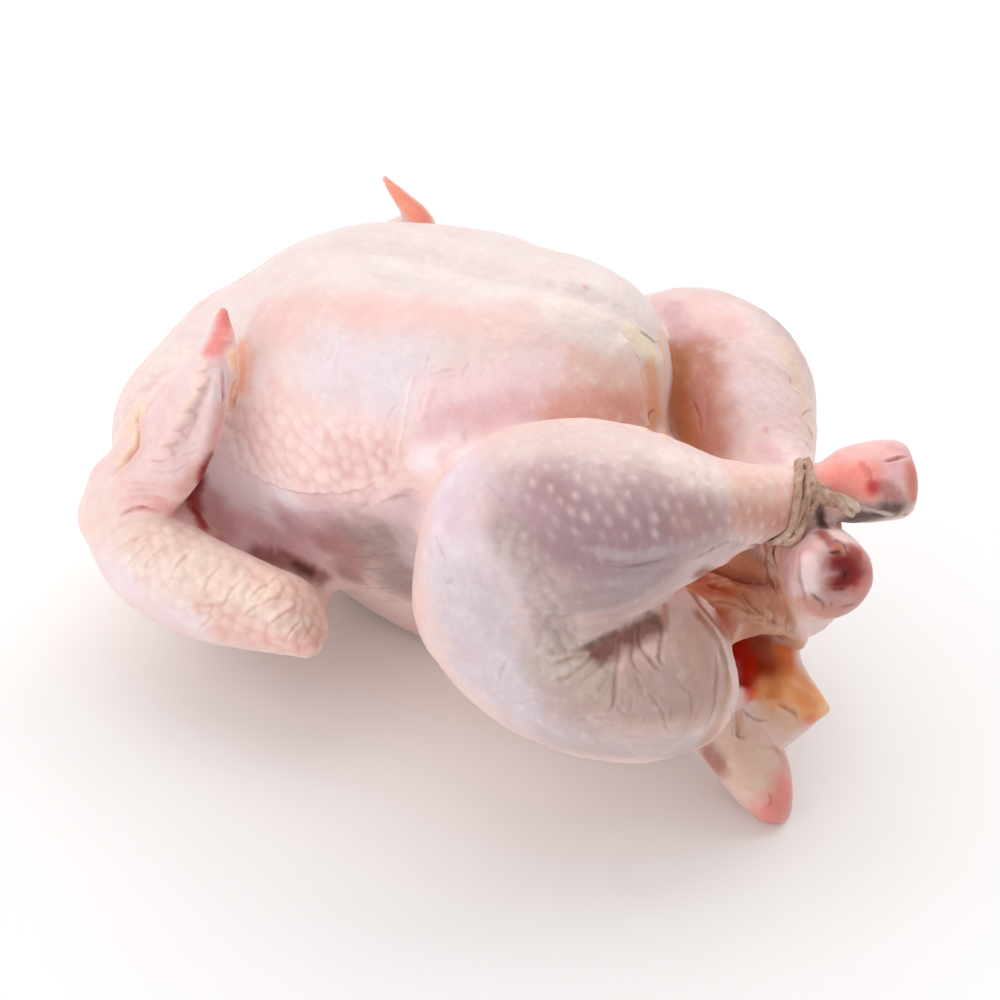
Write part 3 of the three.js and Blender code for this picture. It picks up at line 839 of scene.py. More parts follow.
PATCHES = [
    # breast
    (50, "ecddda", 1, "330,255 450,275 580,290"),
    (22, "ecd9d7", 0.8, "190,335 260,300"),
    # painted shade in the groove beside the keel, and a painted highlight below it
    (5.5, "decfca", 0.42, "345,244 400,248 450,262 520,279 605,299"),
    (4.5, "f4e6df", 0.45, "395,265 470,282 560,303 620,322"),
    (11, "edcac4", 0.85, "285,312 380,314 480,322 560,332"),
    (7, "efc9c6", 0.6, "266,314 280,330"),
    (7, "f0cac3", 0.55, "345,316 400,318"),
    (11, "f8ebe4", 0.7, "565,320 600,335 612,352"),
    (14, "e8dae0", 0.9, "330,365 375,382 400,372"),
    # painted light: near-white where the wing's shadow falls on the breast
    (7, "fff3f3", 1, "252,385 250,430 240,455"),
    (15, "f6d3d0", 0.95, "265,440 310,452 360,460"),
    (8, "e2b2ac", 0.8, "345,458 375,460"),
    (11, "fbdde1", 0.9, "440,405 500,390 560,380"),
    (6, "e3b3ba", 0.6, "435,428 470,418 520,408"),
    (9, "f6c8b6", 0.7, "580,375 610,380 630,392"),
    (8, "e8a593", 0.8, "560,412 595,412 628,415"),
    (1.3, "f7dacf", 0.65, "533,405"),
    (1.5, "f7dacf", 0.65, "619,418"),
    (1.0, "df9f94", 0.75, "586,287"),
    (5, "fba48c", 1, "393,186 402,198 412,208 424,215"),
    (4, "fff0d2", 0.9, "632,333 645,347 652,357"),
    (4.4, "eaa06c", 0.75, "651,372 652,395 653,420"),
    (1.8, "f3cba4", 0.6, "660,332 662,370 661,410 665,440"),
    (1.6, "f2cbaa", 0.4, "643,372 644,400 645,432"),
    # painted shadow of the wing on the breast, warm orange
    (4.2, "f7bfa8", 0.6, "246,345 247,368 245,385"),
    (2.2, "f2a584", 0.7, "241,348 243,366 241,386"),
    # far leg
    (34, "efd3cf", 1, "700,330 760,380 790,430"),
    # painted shade: brown-orange on the far leg's inner side, in the gap behind the breast
    (10, "c47c66", 0.85, "692,352 702,400 708,440"),
    (9, "f1c4c0", 0.6, "690,310 722,318"),
    # painted shade, darker, deeper in that gap
    (5.5, "c07850", 0.95, "674,352 676,380 678,410 688,440"),
    (5, "deb2b4", 0.75, "672,308 682,332"),
    (5, "ebbab5", 0.5, "735,325"),
    (5, "f3d5bf", 0.75, "785,348 803,390 812,440"),
    (7, "f2d8dd", 0.65, "748,385 768,400"),
    (3.4, "deabb6", 0.55, "765,448 777,456"),
    (1.5, "d2939c", 0.6, "766,430"),
    # belly round the opening: its brown-orange is partly the skin's own colour, partly painted shade in the
    # opening and under its folds
    (18, "bd7450", 1, "700,590 740,590 778,610"),
    (7, "b04a1a", 0.95, "712,582 718,596 728,614"),
    (4, "b85420", 0.8, "722,622 733,634"),
    (6, "c8855f", 0.6, "760,575 785,590"),
    (3, "98462a", 0.75, "700,572 735,580 778,584"),
    (3, "d29a79", 0.7, "715,600 745,608 785,630"),
    (3.4, "a34a28", 0.85, "690,592 708,614 724,632"),
    (3, "c48a68", 0.6, "735,556 765,562"),
    (4, "d3a086", 0.8, "770,622 796,645"),
    (8, "ee2a0a", 1, "738,648 750,662 756,682"),
    (4, "d42006", 0.95, "745,684 758,688"),
    (5, "b44c1a", 0.9, "763,645 772,655 775,670"),
    (3, "d07a40", 0.8, "780,648 788,650"),
    (3.6, "ea7a38", 0.95, "784,655 788,672"),
    (3, "b23c14", 0.8, "766,668 766,686"),
    (7, "fdb06c", 0.95, "770,697 795,690 812,704"),
    (2.5, "ffdcb0", 0.6, "823,708"),
    (1.8, "ea9272", 0.75, "811,719"),
    (4, "f2d2b8", 0.8, "760,712 785,722"),
    # tail
    (15, "e8c8b4", 0.95, "745,755 755,785"),
    (1.3, "cb8f6c", 0.45, "741,711 739,734"),
    (4.4, "ac7068", 0.85, "709,753 718,766"),
    (5, "f0d2ca", 0.7, "722,785 745,803"),
    (7, "ee948c", 0.95, "786,788 782,803 772,814"),
    (3, "dfae9f", 0.75, "781,750 787,768"),
    # near knuckle
    (13, "f3bdb7", 1, "840,470 880,455"),
    (6, "ff9a8e", 0.95, "833,478 852,478 866,482"),
    (2.6, "cb3a42", 0.9, "874,487"),
    (1.2, "e77a72", 0.7, "862,464 868,474"),
    (1.8, "5c2414", 0.9, "819,508 821,518 824,528"),
    (5.4, "50302c", 0.92, "843,524 868,517 892,510"),
    (4, "f0bfc2", 0.8, "895,465 897,480"),
    (2.6, "c07c7a", 0.8, "886,488 896,496"),
    (3, "dca2a6", 0.7, "893,447 906,452"),
    (2.6, "dd8270", 0.85, "911,468 914,496"),
    (1.0, "dccdc8", 0.8, "862,508 876,511 892,515"),
    # far knuckle
    (12, "d8b0ad", 1, "795,560 820,590 850,590"),
    (4, "d8b6b8", 0.7, "786,558 789,588"),
    (2.8, "fae2e2", 0.85, "808,560 810,588"),
    (3.4, "dc8478", 0.75, "859,556 866,574 858,592"),
    (4.6, "8c0804", 1, "838,562 847,564 850,578 839,584"),
    (2.4, "6a0402", 0.9, "842,566 847,572 844,580"),
    (2.2, "96302f", 0.85, "820,532 828,540 836,546"),
    (1.6, "b3544e", 0.75, "850,546 858,555"),
    (3.6, "c79893", 0.75, "832,600 852,601"),
    (3.6, "c98a76", 0.75, "806,602 822,611 836,614"),
    (1.3, "e0926f", 0.5, "834,547 842,549"),
    # the wing's tip, over what lies round it
    (4.2, "ec908a", 1, "227,315 224,327 219,339 214,351"),
    (2.0, "e27e78", 0.9, "227,312 226,322"),
    (1.6, "f9bd94", 0.8, "233,356 235,372 234,388 230,403"),
]

# Grooves: half-width and depth (mm), shade, strength, lines. The shade darkens each crease: partly the folded
# skin's colour, partly painted crease shade.
BOTH_GROOVES = [
    # wing: folds before the shoulder, along the hand and over the wrist
    (0.83, 1.44, "b5502f", 0.6, "139,402 139,425 137,447 124,463 106,481"),
    (0.68, 0.5, "e3b2b4", 0.3, "216,366 211,384 203,402 195,420 188,440 181,456"),
    (0.45, 0.81, "d98a8c", 0.52, "222,362 223,378 223,395 222,409"),
    (0.6, 0.81, "c8552c", 0.64, "239,384 237,398 231,412"),
    (0.52, 0.81, "c85a40", 0.6, "115,518 128,511 142,508 154,511 167,515"),
    (0.75, 0.54, "e8a297", 0.38, "118,503 140,498 160,500 178,503"),
    (0.41, 0.41, "cfa9ac", 0.3, "143,466 160,473 178,471 194,462"),
    (0.38, 0.32, "cfa9ac", 0.26, "124,482 145,485 166,486; 120,493 140,490 160,492; 176,458 190,454 203,447"),
    (0.38, 0.36, "cc9a90", 0.3, "196,372 206,373 213,368; 196,389 205,389 211,384"),
    (0.38, 0.45, "cc8a78", 0.38, "183,413 194,411 203,402"),
    (0.38, 0.45, "cc9a90", 0.34, "172,431 184,429 193,421; 160,445 174,446 184,440; 148,458 160,462 174,456"),
    # forearm: slanting wrinkles
    (0.52, 0.36, "dbaea2", 0.3, "105,540 120,525 148,516"),
    (0.45, 0.41, "dcb4a6", 0.3, "112,556 125,545 150,533 172,531"),
    (0.45, 0.41, "d8b0a6", 0.3, "128,568 138,553 158,540; 143,578 152,558 172,546"),
    (0.45, 0.45, "d8a99c", 0.34, "172,580 180,562 196,549; 203,594 211,577 224,564"),
    (0.45, 0.45, "d49a8c", 0.34, "225,606 232,590 247,576"),
    (0.45, 0.45, "dca292", 0.34, "249,600 262,588 280,577"),
    (0.45, 0.45, "d99c90", 0.38, "240,622 252,610 270,600 288,592; 262,632 275,620 292,609 306,602"),
    (0.45, 0.45, "d99c90", 0.38, "282,645 293,630 305,616"),
    (0.52, 0.36, "d99a90", 0.38, "182,611 200,606 220,605 234,598"),
    (0.45, 0.36, "d99a90", 0.34, "196,634 208,622 216,612"),
    (0.45, 0.36, "cf9a8a", 0.34, "300,648 309,632 318,618"),
    # flank
    (0.82, 0.19, "9d7a82", 0.14, "238,502 262,511 285,521 312,531"),
    (0.54, 0.14, "9d7a82", 0.14, "286,513 315,514 346,513"),
    (0.72, 0.27, "8a6468", 0.14, "345,520 360,508 378,500"),
    (0.54, 0.19, "7d5f5a", 0.17, "338,545 362,542 392,546; 352,559 378,556 408,557"),
    (0.54, 0.22, "7d5f5a", 0.17, "350,574 380,570 410,576; 350,590 380,588 408,592; 368,604 392,601 414,606"),
    (0.54, 0.22, "7d5f5a", 0.14, "360,530 385,527 412,529"),
    (0.54, 0.43, "7d5058", 0.25, "376,506 389,499 404,496 423,497"),
    (0.46, 0.27, "8a5c64", 0.21, "396,493 410,491 424,493"),
]
GROOVES = [
    # knee
    (0.38, 0.41, "b596a4", 0.38, "431,529 437,540 441,552 447,563"),
    (0.38, 0.32, "b596a4", 0.34, "444,584 457,579"),
    (0.38, 0.32, "c3a9b6", 0.34, "517,461 514,470 514,480"),
    (0.52, 0.27, "b79aa8", 0.3, "476,479 490,487 504,500 514,508"),
    # the deep crease between drumstick and thigh, with a painted shadow line where the drumstick's edge
    # overhangs the thigh
    (0.8, 1.2, "70483e", 0.5, "570,655 590,645 612,634 640,620"),
    (0.45, 0.41, "7c636c", 0.38, "598,565 625,566 650,562 674,558"),
    (0.38, 0.41, "7c636c", 0.34, "688,562 705,553 722,544 744,536"),
    # thigh: wrinkles that radiate from the crease
    (0.61, 0.38, "a27c70", 0.27, "538,655 560,651 580,648 598,641"),
    (0.55, 0.46, "96685a", 0.32, "545,668 562,662 582,656 594,650; 540,683 560,680 577,671 591,658 597,642"),
    (0.55, 0.38, "a27c70", 0.3, "574,692 585,681 600,668 611,655 616,636"),
    (0.61, 0.61, "8f6052", 0.37, "598,712 609,709 615,700 615,684 618,668 620,650 619,632"),
    (0.51, 0.27, "ab8a80", 0.27, "575,723 584,720 594,722"),
    (0.51, 0.23, "ab8a80", 0.24, "589,718 612,717"),
    (0.51, 0.38, "96685a", 0.35, "631,620 634,632 631,650 635,666 647,682"),
    (0.61, 0.61, "8f6052", 0.37, "645,612 640,628 640,645 648,657 657,668 668,673"),
    (0.51, 0.35, "a27c70", 0.3, "668,673 677,679 685,688 692,696 691,712 686,727"),
    (0.66, 0.77, "8a5a4c", 0.4, "662,600 661,622 660,645 660,660 667,669"),
    (0.51, 0.38, "ab8a80", 0.27, "644,688 655,699 663,712 666,725 672,737"),
    (0.51, 0.31, "b8a4a2", 0.27, "617,690 619,706 625,713 632,706 633,690"),
    (0.51, 0.31, "ab8a80", 0.27, "672,703 672,716 668,728"),
    (0.51, 0.31, "b39b95", 0.24, "632,668 640,685 646,700"),
    (0.46, 0.27, "b39b95", 0.22, "590,700 600,690 608,676"),
    (0.51, 0.23, "b39b95", 0.22, "498,690 503,668 514,655"),
    (0.51, 0.23, "b8a4a2", 0.22, "505,692 530,684 548,690 566,699"),
    (0.51, 0.23, "b8a4a2", 0.19, "510,706 535,700 560,706"),
    (0.51, 0.2, "b39b95", 0.19, "618,735 636,737 652,738"),
    (0.61, 0.54, "96685a", 0.32, "714,630 716,660 716,690 713,708 706,726 700,744"),
    # breast
    (3.75, 1.17, None, 0, "335,246 400,250 455,263 535,284 600,304 645,326"),
    (0.46, 0.16, "d99c98", 0.21, "214,454 235,464 262,481 285,490 310,494 340,494 366,488 385,478"),
    (0.41, 0.16, "c3b0b8", 0.17, "334,342 331,355 326,367; 343,339 339,355 335,373"),
    (0.54, 0.14, "c9b8c0", 0.14, "303,343 298,358 291,374"),
    (0.46, 0.16, "c2a0a6", 0.17, "432,351 428,362 423,375"),
    (0.46, 0.19, "c2989e", 0.19, "424,379 440,373 462,368"),
    (0.46, 0.16, "c2a0a6", 0.17, "471,358 466,370 461,384"),
    (0.46, 0.22, "b38a94", 0.21, "428,384 423,400 419,417"),
    (0.46, 0.16, "c0a0aa", 0.17, "402,396 392,413 383,432"),
    # the breast's tail end and the belly
    (0.52, 0.9, "9c5a3c", 0.45, "621,332 629,345 636,361 640,380 642,400 645,418 648,436"),
    (0.34, 0.36, "8a6048", 0.45, "632,324 640,331 648,337 655,342 661,340"),
    (0.52, 0.9, "7a3014", 0.68, "657,410 650,414 647,423 646,433"),
    # far leg
    (0.45, 0.36, "8f4c34", 0.34, "690,395 698,415 703,440"),
    (0.45, 0.36, "a8644c", 0.3, "706,385 709,410 708,435"),
    (0.38, 0.36, "b98474", 0.41, "798,421 806,412 813,409; 803,438 809,447 816,457"),
    (0.38, 0.36, "b98474", 0.38, "806,424 811,434 815,446"),
    (0.38, 0.27, "d9aaa4", 0.34, "704,352 712,345 722,338"),
    (0.38, 0.27, "c9ad9c", 0.3, "786,372 792,384 800,392"),
    # folds of the belly over the opening
    (0.6, 0.99, "8c3d1c", 0.49, "697,571 715,573 735,580 755,583 779,584"),
    (0.6, 0.9, "96502f", 0.41, "712,560 722,571 738,588 752,606 768,617 793,634"),
    (0.52, 0.72, "9c5a3a", 0.38, "700,585 720,590 742,600"),
    (0.52, 0.63, "a8684a", 0.38, "742,618 765,620 785,628"),
    (0.6, 0.72, "8c3d1c", 0.45, "745,546 760,545 777,545"),
    (0.52, 0.63, "a0603c", 0.38, "700,604 722,603 745,610 765,622"),
    (0.6, 0.81, "8a4526", 0.45, "782,600 772,585 765,565 768,548"),
    # lower lip and tail
    (0.52, 0.7, "a8603c", 0.4, "741,703 748,714 758,720 771,719"),
    (0.52, 0.72, "a0684c", 0.41, "772,702 788,708 800,722"),
    (0.6, 0.6, "b07c62", 0.3, "737,704 737,720 741,737 751,730"),
    (0.45, 0.4, "c09a90", 0.25, "729,700 733,722 732,745"),
    (0.5, 0.3, "bfa08a", 0.25, "757,744 768,747 780,746"),
    (0.5, 0.25, "c4ab98", 0.25, "740,785 750,788 762,784"),
    (0.45, 0.36, "b5656a", 0.34, "768,790 772,800 766,810"),
    (0.5, 0.25, "c4ab98", 0.25, "778,762 790,757"),
    # knuckles
    (0.41, 0.72, "a33228", 0.56, "880,462 890,461 900,458 912,457"),
    (0.6, 0.45, "cf8088", 0.38, "866,466 873,474 874,486"),
    (0.41, 0.45, "6d5a5e", 0.45, "866,508 876,514 889,517"),
    (0.38, 0.45, "5a2a1c", 0.52, "903,514 911,514 919,512"),
    (0.38, 0.36, "d8b8b8", 0.38, "888,492 889,502 891,510"),
    (0.52, 0.63, "9c7a84", 0.45, "801,544 799,560 800,578 806,598 812,610"),
    (0.41, 0.72, "4a0c0a", 0.64, "829,541 838,542 845,547 847,554"),
    (0.38, 0.72, "3c0a08", 0.68, "827,551 836,552 845,552"),
    (0.38, 0.81, "1e0504", 0.71, "848,570 846,576 844,581"),
    (0.38, 0.54, "5c0c0c", 0.64, "828,589 838,589 848,588"),
    (0.38, 0.45, "4a1214", 0.64, "809,590 816,596 824,603 824,612"),
    (0.38, 0.36, "7c1c20", 0.6, "841,606 849,605 857,602; 831,602 832,606"),
]

# Ridges: half-width and height (mm), shade, strength, lines
BOTH_RIDGES = [
    # the hand of the wing: its two bones, and the rows of follicles on the front one
    (2.2, 1.3, None, 0, "214,352 206,372 199,392 186,412 172,436 158,456"),
    (2.0, 1.0, "f5e0e2", 0.4, "221,346 217,375 213,400 210,425 203,450 195,470"),
    (1.3, 1.3, "fcc79c", 0.5, "230,345 233,365 233,385 229,402"),
    (1.5, 0.8, "f7d4c0", 0.5, "191,375 203,369 212,361; 190,391 202,385 211,377"),
    (1.6, 0.8, "f7d4c0", 0.5, "181,408 194,402 206,391"),
    (1.6, 0.8, "f5d0c0", 0.5, "170,426 184,421 196,411"),
    (1.7, 0.8, "f4d0c6", 0.5, "158,444 172,440 185,432"),
    (1.8, 0.8, "f2ccc4", 0.5, "148,458 162,457 175,451"),
    (1.2, 1.2, "f3c8b8", 0.5, "205,531 217,533 228,536"),
    (1.2, 0.6, "f6c7ae", 0.5, "143,408 142,428 140,446 127,466 112,480"),
    # forearm
    (1.2, 0.5, "f6e0d2", 0.5, "185,572 194,558 206,546; 215,590 222,576 234,566"),
    (1.1, 0.5, "f6e0d2", 0.45, "236,600 243,588 256,576"),
    (1.0, 0.5, "f6d2c4", 0.45, "258,608 270,597 286,587; 268,624 282,612 298,602"),
    (1.2, 0.5, "f8e8d8", 0.4, "150,560 162,546 180,536"),
    # flank and knee
    (0.5, 0.25, "e6d3da", 0.5, "273,520 275,538 275,556"),
]
RIDGES = [
    # thigh
    (1.5, 0.5, None, 0, "548,660 570,656 590,646"),
    (1.6, 0.6, None, 0, "560,674 580,664 596,652"),
    (1.8, 0.6, None, 0, "580,700 596,684 608,668"),
    (2.0, 0.8, "d0a99c", 0.4, "627,640 626,665 625,690"),
    (2.0, 0.8, None, 0, "652,620 651,640 656,656"),
    (2.2, 0.8, "c2aba4", 0.3, "675,640 678,660 690,675"),
    (1.8, 0.7, "cba995", 0.4, "724,650 726,680 722,706 712,728"),
    (0.5, 0.25, "f6ecec", 0.3, "417,369 411,385 408,402 404,422 400,446 397,466"),
    (1.1, 0.5, "f3c4c0", 0.4, "433,384 429,398 425,412 421,423"),
    (0.9, 0.9, "f7d6bc", 0.8, "391,471"),
    (1.8, 0.9, None, 0, "659,345 661,375 660,400 662,425 665,443"),
    (2.4, 1.0, "f7dfd8", 0.4, "430,462 445,447 468,438"),
    # belly folds
    (2.0, 1.0, "d79c78", 0.4, "700,578 722,582 748,594 772,600"),
    (2.0, 1.0, "d9a486", 0.4, "715,612 742,612 770,626 795,645"),
    (2.0, 1.0, "cf8a62", 0.4, "720,560 745,566 768,572"),
    (1.4, 0.8, "e9b488", 0.5, "752,703 772,700 792,708 801,720"),
    (1.2, 0.6, "f0c49a", 0.5, "788,684 805,692 820,704"),
]

# Edges of skin that lies over other skin: height and fade-out (mm), line; its left is raised
STEPS = [
    (0.8, 5, "212,452 235,462 262,479 285,488 310,492 340,492 366,486 385,476"),
    (1.5, 6, "648,438 645,418 642,398 639,378 635,360 628,344 619,330"),
    (0.8, 3, "233,341 222,338 211,351 202,358"),
]

# Follicles: line and radius (mm) of the zone, spacing, half-width and height (mm), shade, strength,
# and the line that they are stretched along. Cobbles: the same without half-width and that line.
FOLLICLES = [
    ("560,470 620,492 690,500 765,505", 12, 4.0, 0.85, 0.5, "ead8d4", 0.62, "660,480 674,504"),
    ("560,555 600,600", 9, 5, 0.8, 0.3, "cdbcbe", 0.5, "560,590 580,600"),
    ("450,560 480,640 560,700", 16, 5.6, 1.0, 0.16, "eee3e6", 0.25, None),
    ("700,640 690,700 640,720", 11, 4.8, 0.9, 0.18, "d8c4bc", 0.3, None),
    ("520,440 600,436 680,462", 7, 4.8, 0.9, 0.22, "f8e6e0", 0.4, None),
    ("720,330 770,390 790,430", 16, 5.4, 1.0, 0.14, "f8e2dc", 0.3, None),
    ("470,375 560,365 610,385", 10, 5.5, 0.8, 0.2, "fbe6de", 0.35, None),
]
COBBLES = [
    ("250,440 300,452 355,462", 12, 4.0, 1.3, "fbe4de", 0.5),
    ("370,440 395,465", 6, 2.8, 0.5, "f6dad6", 0.4),
    ("512,543 532,580 548,612 558,640", 5.2, 3.1, 1.0, "c6b2ae", 0.6),
    ("530,640 560,668", 5, 2.9, 0.35, "cfc0ba", 0.3),
    ("170,560 220,590 270,612 305,630", 13, 3.4, 0.7, "fbe8da", 0.4),
    ("150,370 125,420", 12, 3.6, 0.5, "f6e6d8", 0.4),
]
# Fine wrinkles: line and radius (mm) of the zone, line they run along, their length, spacing and
# depth (mm), shade, strength
CRINKLES = [
    ("230,590 270,610 300,630", 9, "240,622 285,590", 9, 3.4, 0.12, "e2b0a2", 0.18),
    ("120,540 170,560", 9, "115,560 150,535", 9, 3.6, 0.12, "e2bcb0", 0.18),
    ("510,690 550,705", 8, "505,695 560,700", 9, 3.0, 0.15, "c4b4b6", 0.25),
    ("370,545 385,590", 9, "350,575 410,576", 10, 2.8, 0.16, "967672", 0.3),
    ("715,575 750,595 780,620", 9, "710,590 780,612", 12, 3.8, 0.4, "93502f", 0.35),
]


RELIEF = ((15, 0.35), (6, 0.16), (2.6, 0.07))  # of skin nowhere quite smooth: size and height, mm
FINE_LINE = 0.8  # the skin's mesh is finer still beside a fold narrower than this


def draw_all():
    """Draws everything above on the skin, its mesh made finer along the narrow folds first."""

    def trails_of(entries, mirrored=False):
        """Each line of the entries as a trail, with its entry."""
        return [(entry, canvas.trail(line, mirrored)) for entry in entries for line in entry[-1].split(";")]

    grooves, ridges = trails_of(BOTH_GROOVES + GROOVES), trails_of(BOTH_RIDGES + RIDGES)
    far_grooves, far_ridges = trails_of(BOTH_GROOVES, True), trails_of(BOTH_RIDGES, True)
    narrow = [trail[0] for entry, trail in grooves + ridges if entry[0] < FINE_LINE and len(trail[0])]
    split_faces(skin_mesh, faces_near(skin_mesh, np.vstack(narrow), 2 * FINE_LINE))
    settle(skin_mesh, chicken_field)
    canvas.prime()
    for size, height in RELIEF:
        canvas.height += height * noise(canvas.p, size, size)

    def draw(kind, pairs, share=1):
        for (*measures, shade, strength, _), trail in pairs:
            if len(trail[0]):
                kind(trail, *measures, None if shade is None else srgb(shade), strength * share)

    draw(canvas.patch, trails_of(BOTH_PATCHES, True), 0.7)
    draw(canvas.patch, trails_of(BOTH_PATCHES + PATCHES))
    for mirrored, share in ((False, 1), (True, 0.5)):

        def zone(line, radius):
            return share * canvas.zone(canvas.trail(line, mirrored), radius)

        def way(line):
            ends = canvas.trail(line, mirrored)[0]
            return ends[-1] - ends[0]

        for line, radius, *measures, shade, strength in COBBLES:
            canvas.cobbles(zone(line, radius), *measures, srgb(shade), strength)
        for line, radius, *measures, shade, strength, along in FOLLICLES:
            stretch = None if along is None else way(along)
            canvas.follicles(zone(line, radius), *measures, srgb(shade), strength, stretch)
        for line, radius, along, *measures, shade, strength in CRINKLES:
            canvas.crinkles(zone(line, radius), way(along), *measures, srgb(shade), strength)
    draw(canvas.ridge, far_ridges + ridges)
    draw(canvas.groove, far_grooves, 0.7)
    draw(canvas.groove, grooves)
    for *measures, line in STEPS:
        canvas.step(canvas.trail(line), *measures)


draw_all()


# ---- pieces ----
TINT = "Tint"  # the layer that holds a mesh's painted colours


def in_frame(p):
    """From the bird's frame in millimetres to the row's in metres."""
    return (np.array(p) + BIRD_ORIGIN) / 1000


def add_piece(name, mesh, colour, material, stands_for):
    """Puts a finished mesh, with a colour for each vertex, into the scene."""
    layer = mesh.color_attributes.new(TINT, "FLOAT_COLOR", "POINT")
    layer.data.foreach_set("color", np.hstack([colour, np.ones((len(colour), 1))]).ravel())
    set_vertices(mesh, in_frame(vertices_of(mesh)))
    mesh.polygons.foreach_set("use_smooth", np.ones(len(mesh.polygons), bool))
    mesh.materials.append(material)
    piece = bpy.data.objects.new(name, mesh)
    bpy.context.scene.collection.objects.link(piece)
    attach(piece, "root")
    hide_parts(stands_for)


# ---- materials ----
def nodes_of(name):
    """A new material, with its nodes, its links and its shader."""
    material = bpy.data.materials.new(name)
    material.use_nodes = True
    nodes = material.node_tree.nodes
    return material, nodes, material.node_tree.links, nodes["Principled BSDF"]


def surface_of(nodes):
    """The place in the object and the painted colour, for every point of the surface."""
    place = nodes.new("ShaderNodeTexCoord").outputs["Object"]
    tint = nodes.new("ShaderNodeAttribute")
    tint.attribute_name = TINT
    return place, tint.outputs["Color"]


def set_inputs(node, **inputs):
    """Sets some of a shader node's inputs, by their names."""
    for name, value in inputs.items():
        node.inputs[name.replace("_", " ")].default_value = value


def add_node(nodes, kind, **inputs):
    node = nodes.new(kind)
    set_inputs(node, **inputs)
    return node


def add_noise(nodes, links, place, scale, detail):
    """Procedural noise at a place in the object, bumps a `scale`-th of a metre across."""
    node = add_node(nodes, "ShaderNodeTexNoise", Scale=scale, Detail=detail)
    links.new(place, node.inputs["Vector"])
    return node.outputs["Fac"]


def add_mix(nodes, links, share, first, second, kind="MIX"):
    """Colour `first` mixed with `second`, which may be a plain colour, by a linked share."""
    node = nodes.new("ShaderNodeMix")
    node.data_type = "RGBA"
    node.blend_type = kind
    links.new(share, node.inputs["Factor"])
    for name, colour in (("A", first), ("B", second)):
        socket = next(s for s in node.inputs if s.name == name and s.type == "RGBA")
        if isinstance(colour, tuple):
            socket.default_value = colour
        else:
            links.new(colour, socket)
    return next(s for s in node.outputs if s.type == "RGBA")


def add_range(nodes, links, value, low, high, to_low, to_high):
    """A value's range low to high, brought to another range."""
    node = add_node(nodes, "ShaderNodeMapRange", From_Min=low, From_Max=high, To_Min=to_low, To_Max=to_high)
    links.new(value, node.inputs["Value"])
    return node.outputs["Result"]


def skin_material():
    """Moist raw skin: the painted colours, faintly mottled, with pores and a soft sheen."""
    material, nodes, links, shader = nodes_of("raw_skin")
    place, colour = surface_of(nodes)
    blotch = add_range(nodes, links, add_noise(nodes, links, place, 95, 3), 0.42, 0.68, 0, 0.24)
    colour = add_mix(nodes, links, blotch, colour, (0.93, 0.66, 0.62, 1), "MULTIPLY")
    pale = add_range(nodes, links, add_noise(nodes, links, place, 260, 3), 0.5, 0.75, 0, 0.3)
    colour = add_mix(nodes, links, pale, colour, (0.95, 0.88, 0.82, 1), "SOFT_LIGHT")
    grain = add_range(nodes, links, add_noise(nodes, links, place, 900, 2), 0.5, 0.8, 0, 0.22)
    colour = add_mix(nodes, links, grain, colour, (0.8, 0.62, 0.58, 1), "MULTIPLY")
    links.new(colour, shader.inputs["Base Color"])
    sheen = add_noise(nodes, links, place, 140, 2)
    links.new(add_range(nodes, links, sheen, 0.35, 0.7, 0.36, 0.52), shader.inputs["Roughness"])
    set_inputs(shader, Subsurface_Weight=0.15, Subsurface_Radius=(1, 0.5, 0.35), Subsurface_Scale=0.003)
    set_inputs(shader, Specular_IOR_Level=0.3, Coat_Weight=0.06, Coat_Roughness=0.22)
    pores = add_node(nodes, "ShaderNodeTexVoronoi", Scale=520.0)
    links.new(place, pores.inputs["Vector"])
    fine = add_node(nodes, "ShaderNodeBump", Strength=0.22, Distance=0.0004)
    links.new(add_noise(nodes, links, place, 1100, 3), fine.inputs["Height"])
    rough = add_node(nodes, "ShaderNodeBump", Strength=0.16, Distance=0.0005)
    links.new(pores.outputs["Distance"], rough.inputs["Height"])
    links.new(fine.outputs["Normal"], rough.inputs["Normal"])
    links.new(rough.outputs["Normal"], shader.inputs["Normal"])
    return material


def twine_material():
    """Wet, dirty cotton: dark between the fibres, pale where they fray."""
    material, nodes, links, shader = nodes_of("wet_twine")
    place, colour = surface_of(nodes)
    dirt = add_range(nodes, links, add_noise(nodes, links, place, 420, 3), 0.4, 0.65, 0, 0.45)
    colour = add_mix(nodes, links, dirt, colour, (0.42, 0.3, 0.22, 1), "MULTIPLY")
    fibre = add_noise(nodes, links, place, 2600, 3)
    worn = add_range(nodes, links, fibre, 0.5, 0.72, 0, 0.5)
    colour = add_mix(nodes, links, worn, colour, (0.72, 0.56, 0.45, 1))
    links.new(colour, shader.inputs["Base Color"])
    set_inputs(shader, Roughness=0.62)
    bump = add_node(nodes, "ShaderNodeBump", Strength=0.5, Distance=0.0003)
    links.new(fibre, bump.inputs["Height"])
    links.new(bump.outputs["Normal"], shader.inputs["Normal"])
    return material


set_vertices(skin_mesh, canvas.p + canvas.n * canvas.height[:, None])
add_piece("chicken_skin", skin_mesh, canvas.colour, skin_material(), "chicken")

# ---- the twine: two loops that hug both ankles, a knot over them and two frayed ends ----
NEAR_ANKLE, FAR_ANKLE = np.array([-3.8, -6.8, 101.5]), np.array([-1, 0, 85.0])
NEAR_ACROSS, FAR_ACROSS = np.array([0.39, -0.92, 0]), np.array([-0.6, -0.8, 0])
LOOP_HEART = np.array([-2.4, -3.4, 93.5])
LOOP_POINTS, LOOP_UP, LOOP_OUT = 36, 24, 22  # it is drawn tight from this far up and out
TWINE_CELL = 0.36
TWINE_LOW, TWINE_HIGH = (-16, -30, 62), (22, 18, 118)
PLY, PLY_WIND, PLY_PITCH = 0.7, 0.55, 22  # radius, distance from the strand's middle, length of a turn
PLY_MELT, SKIN_GAP = 0.35, 0.15


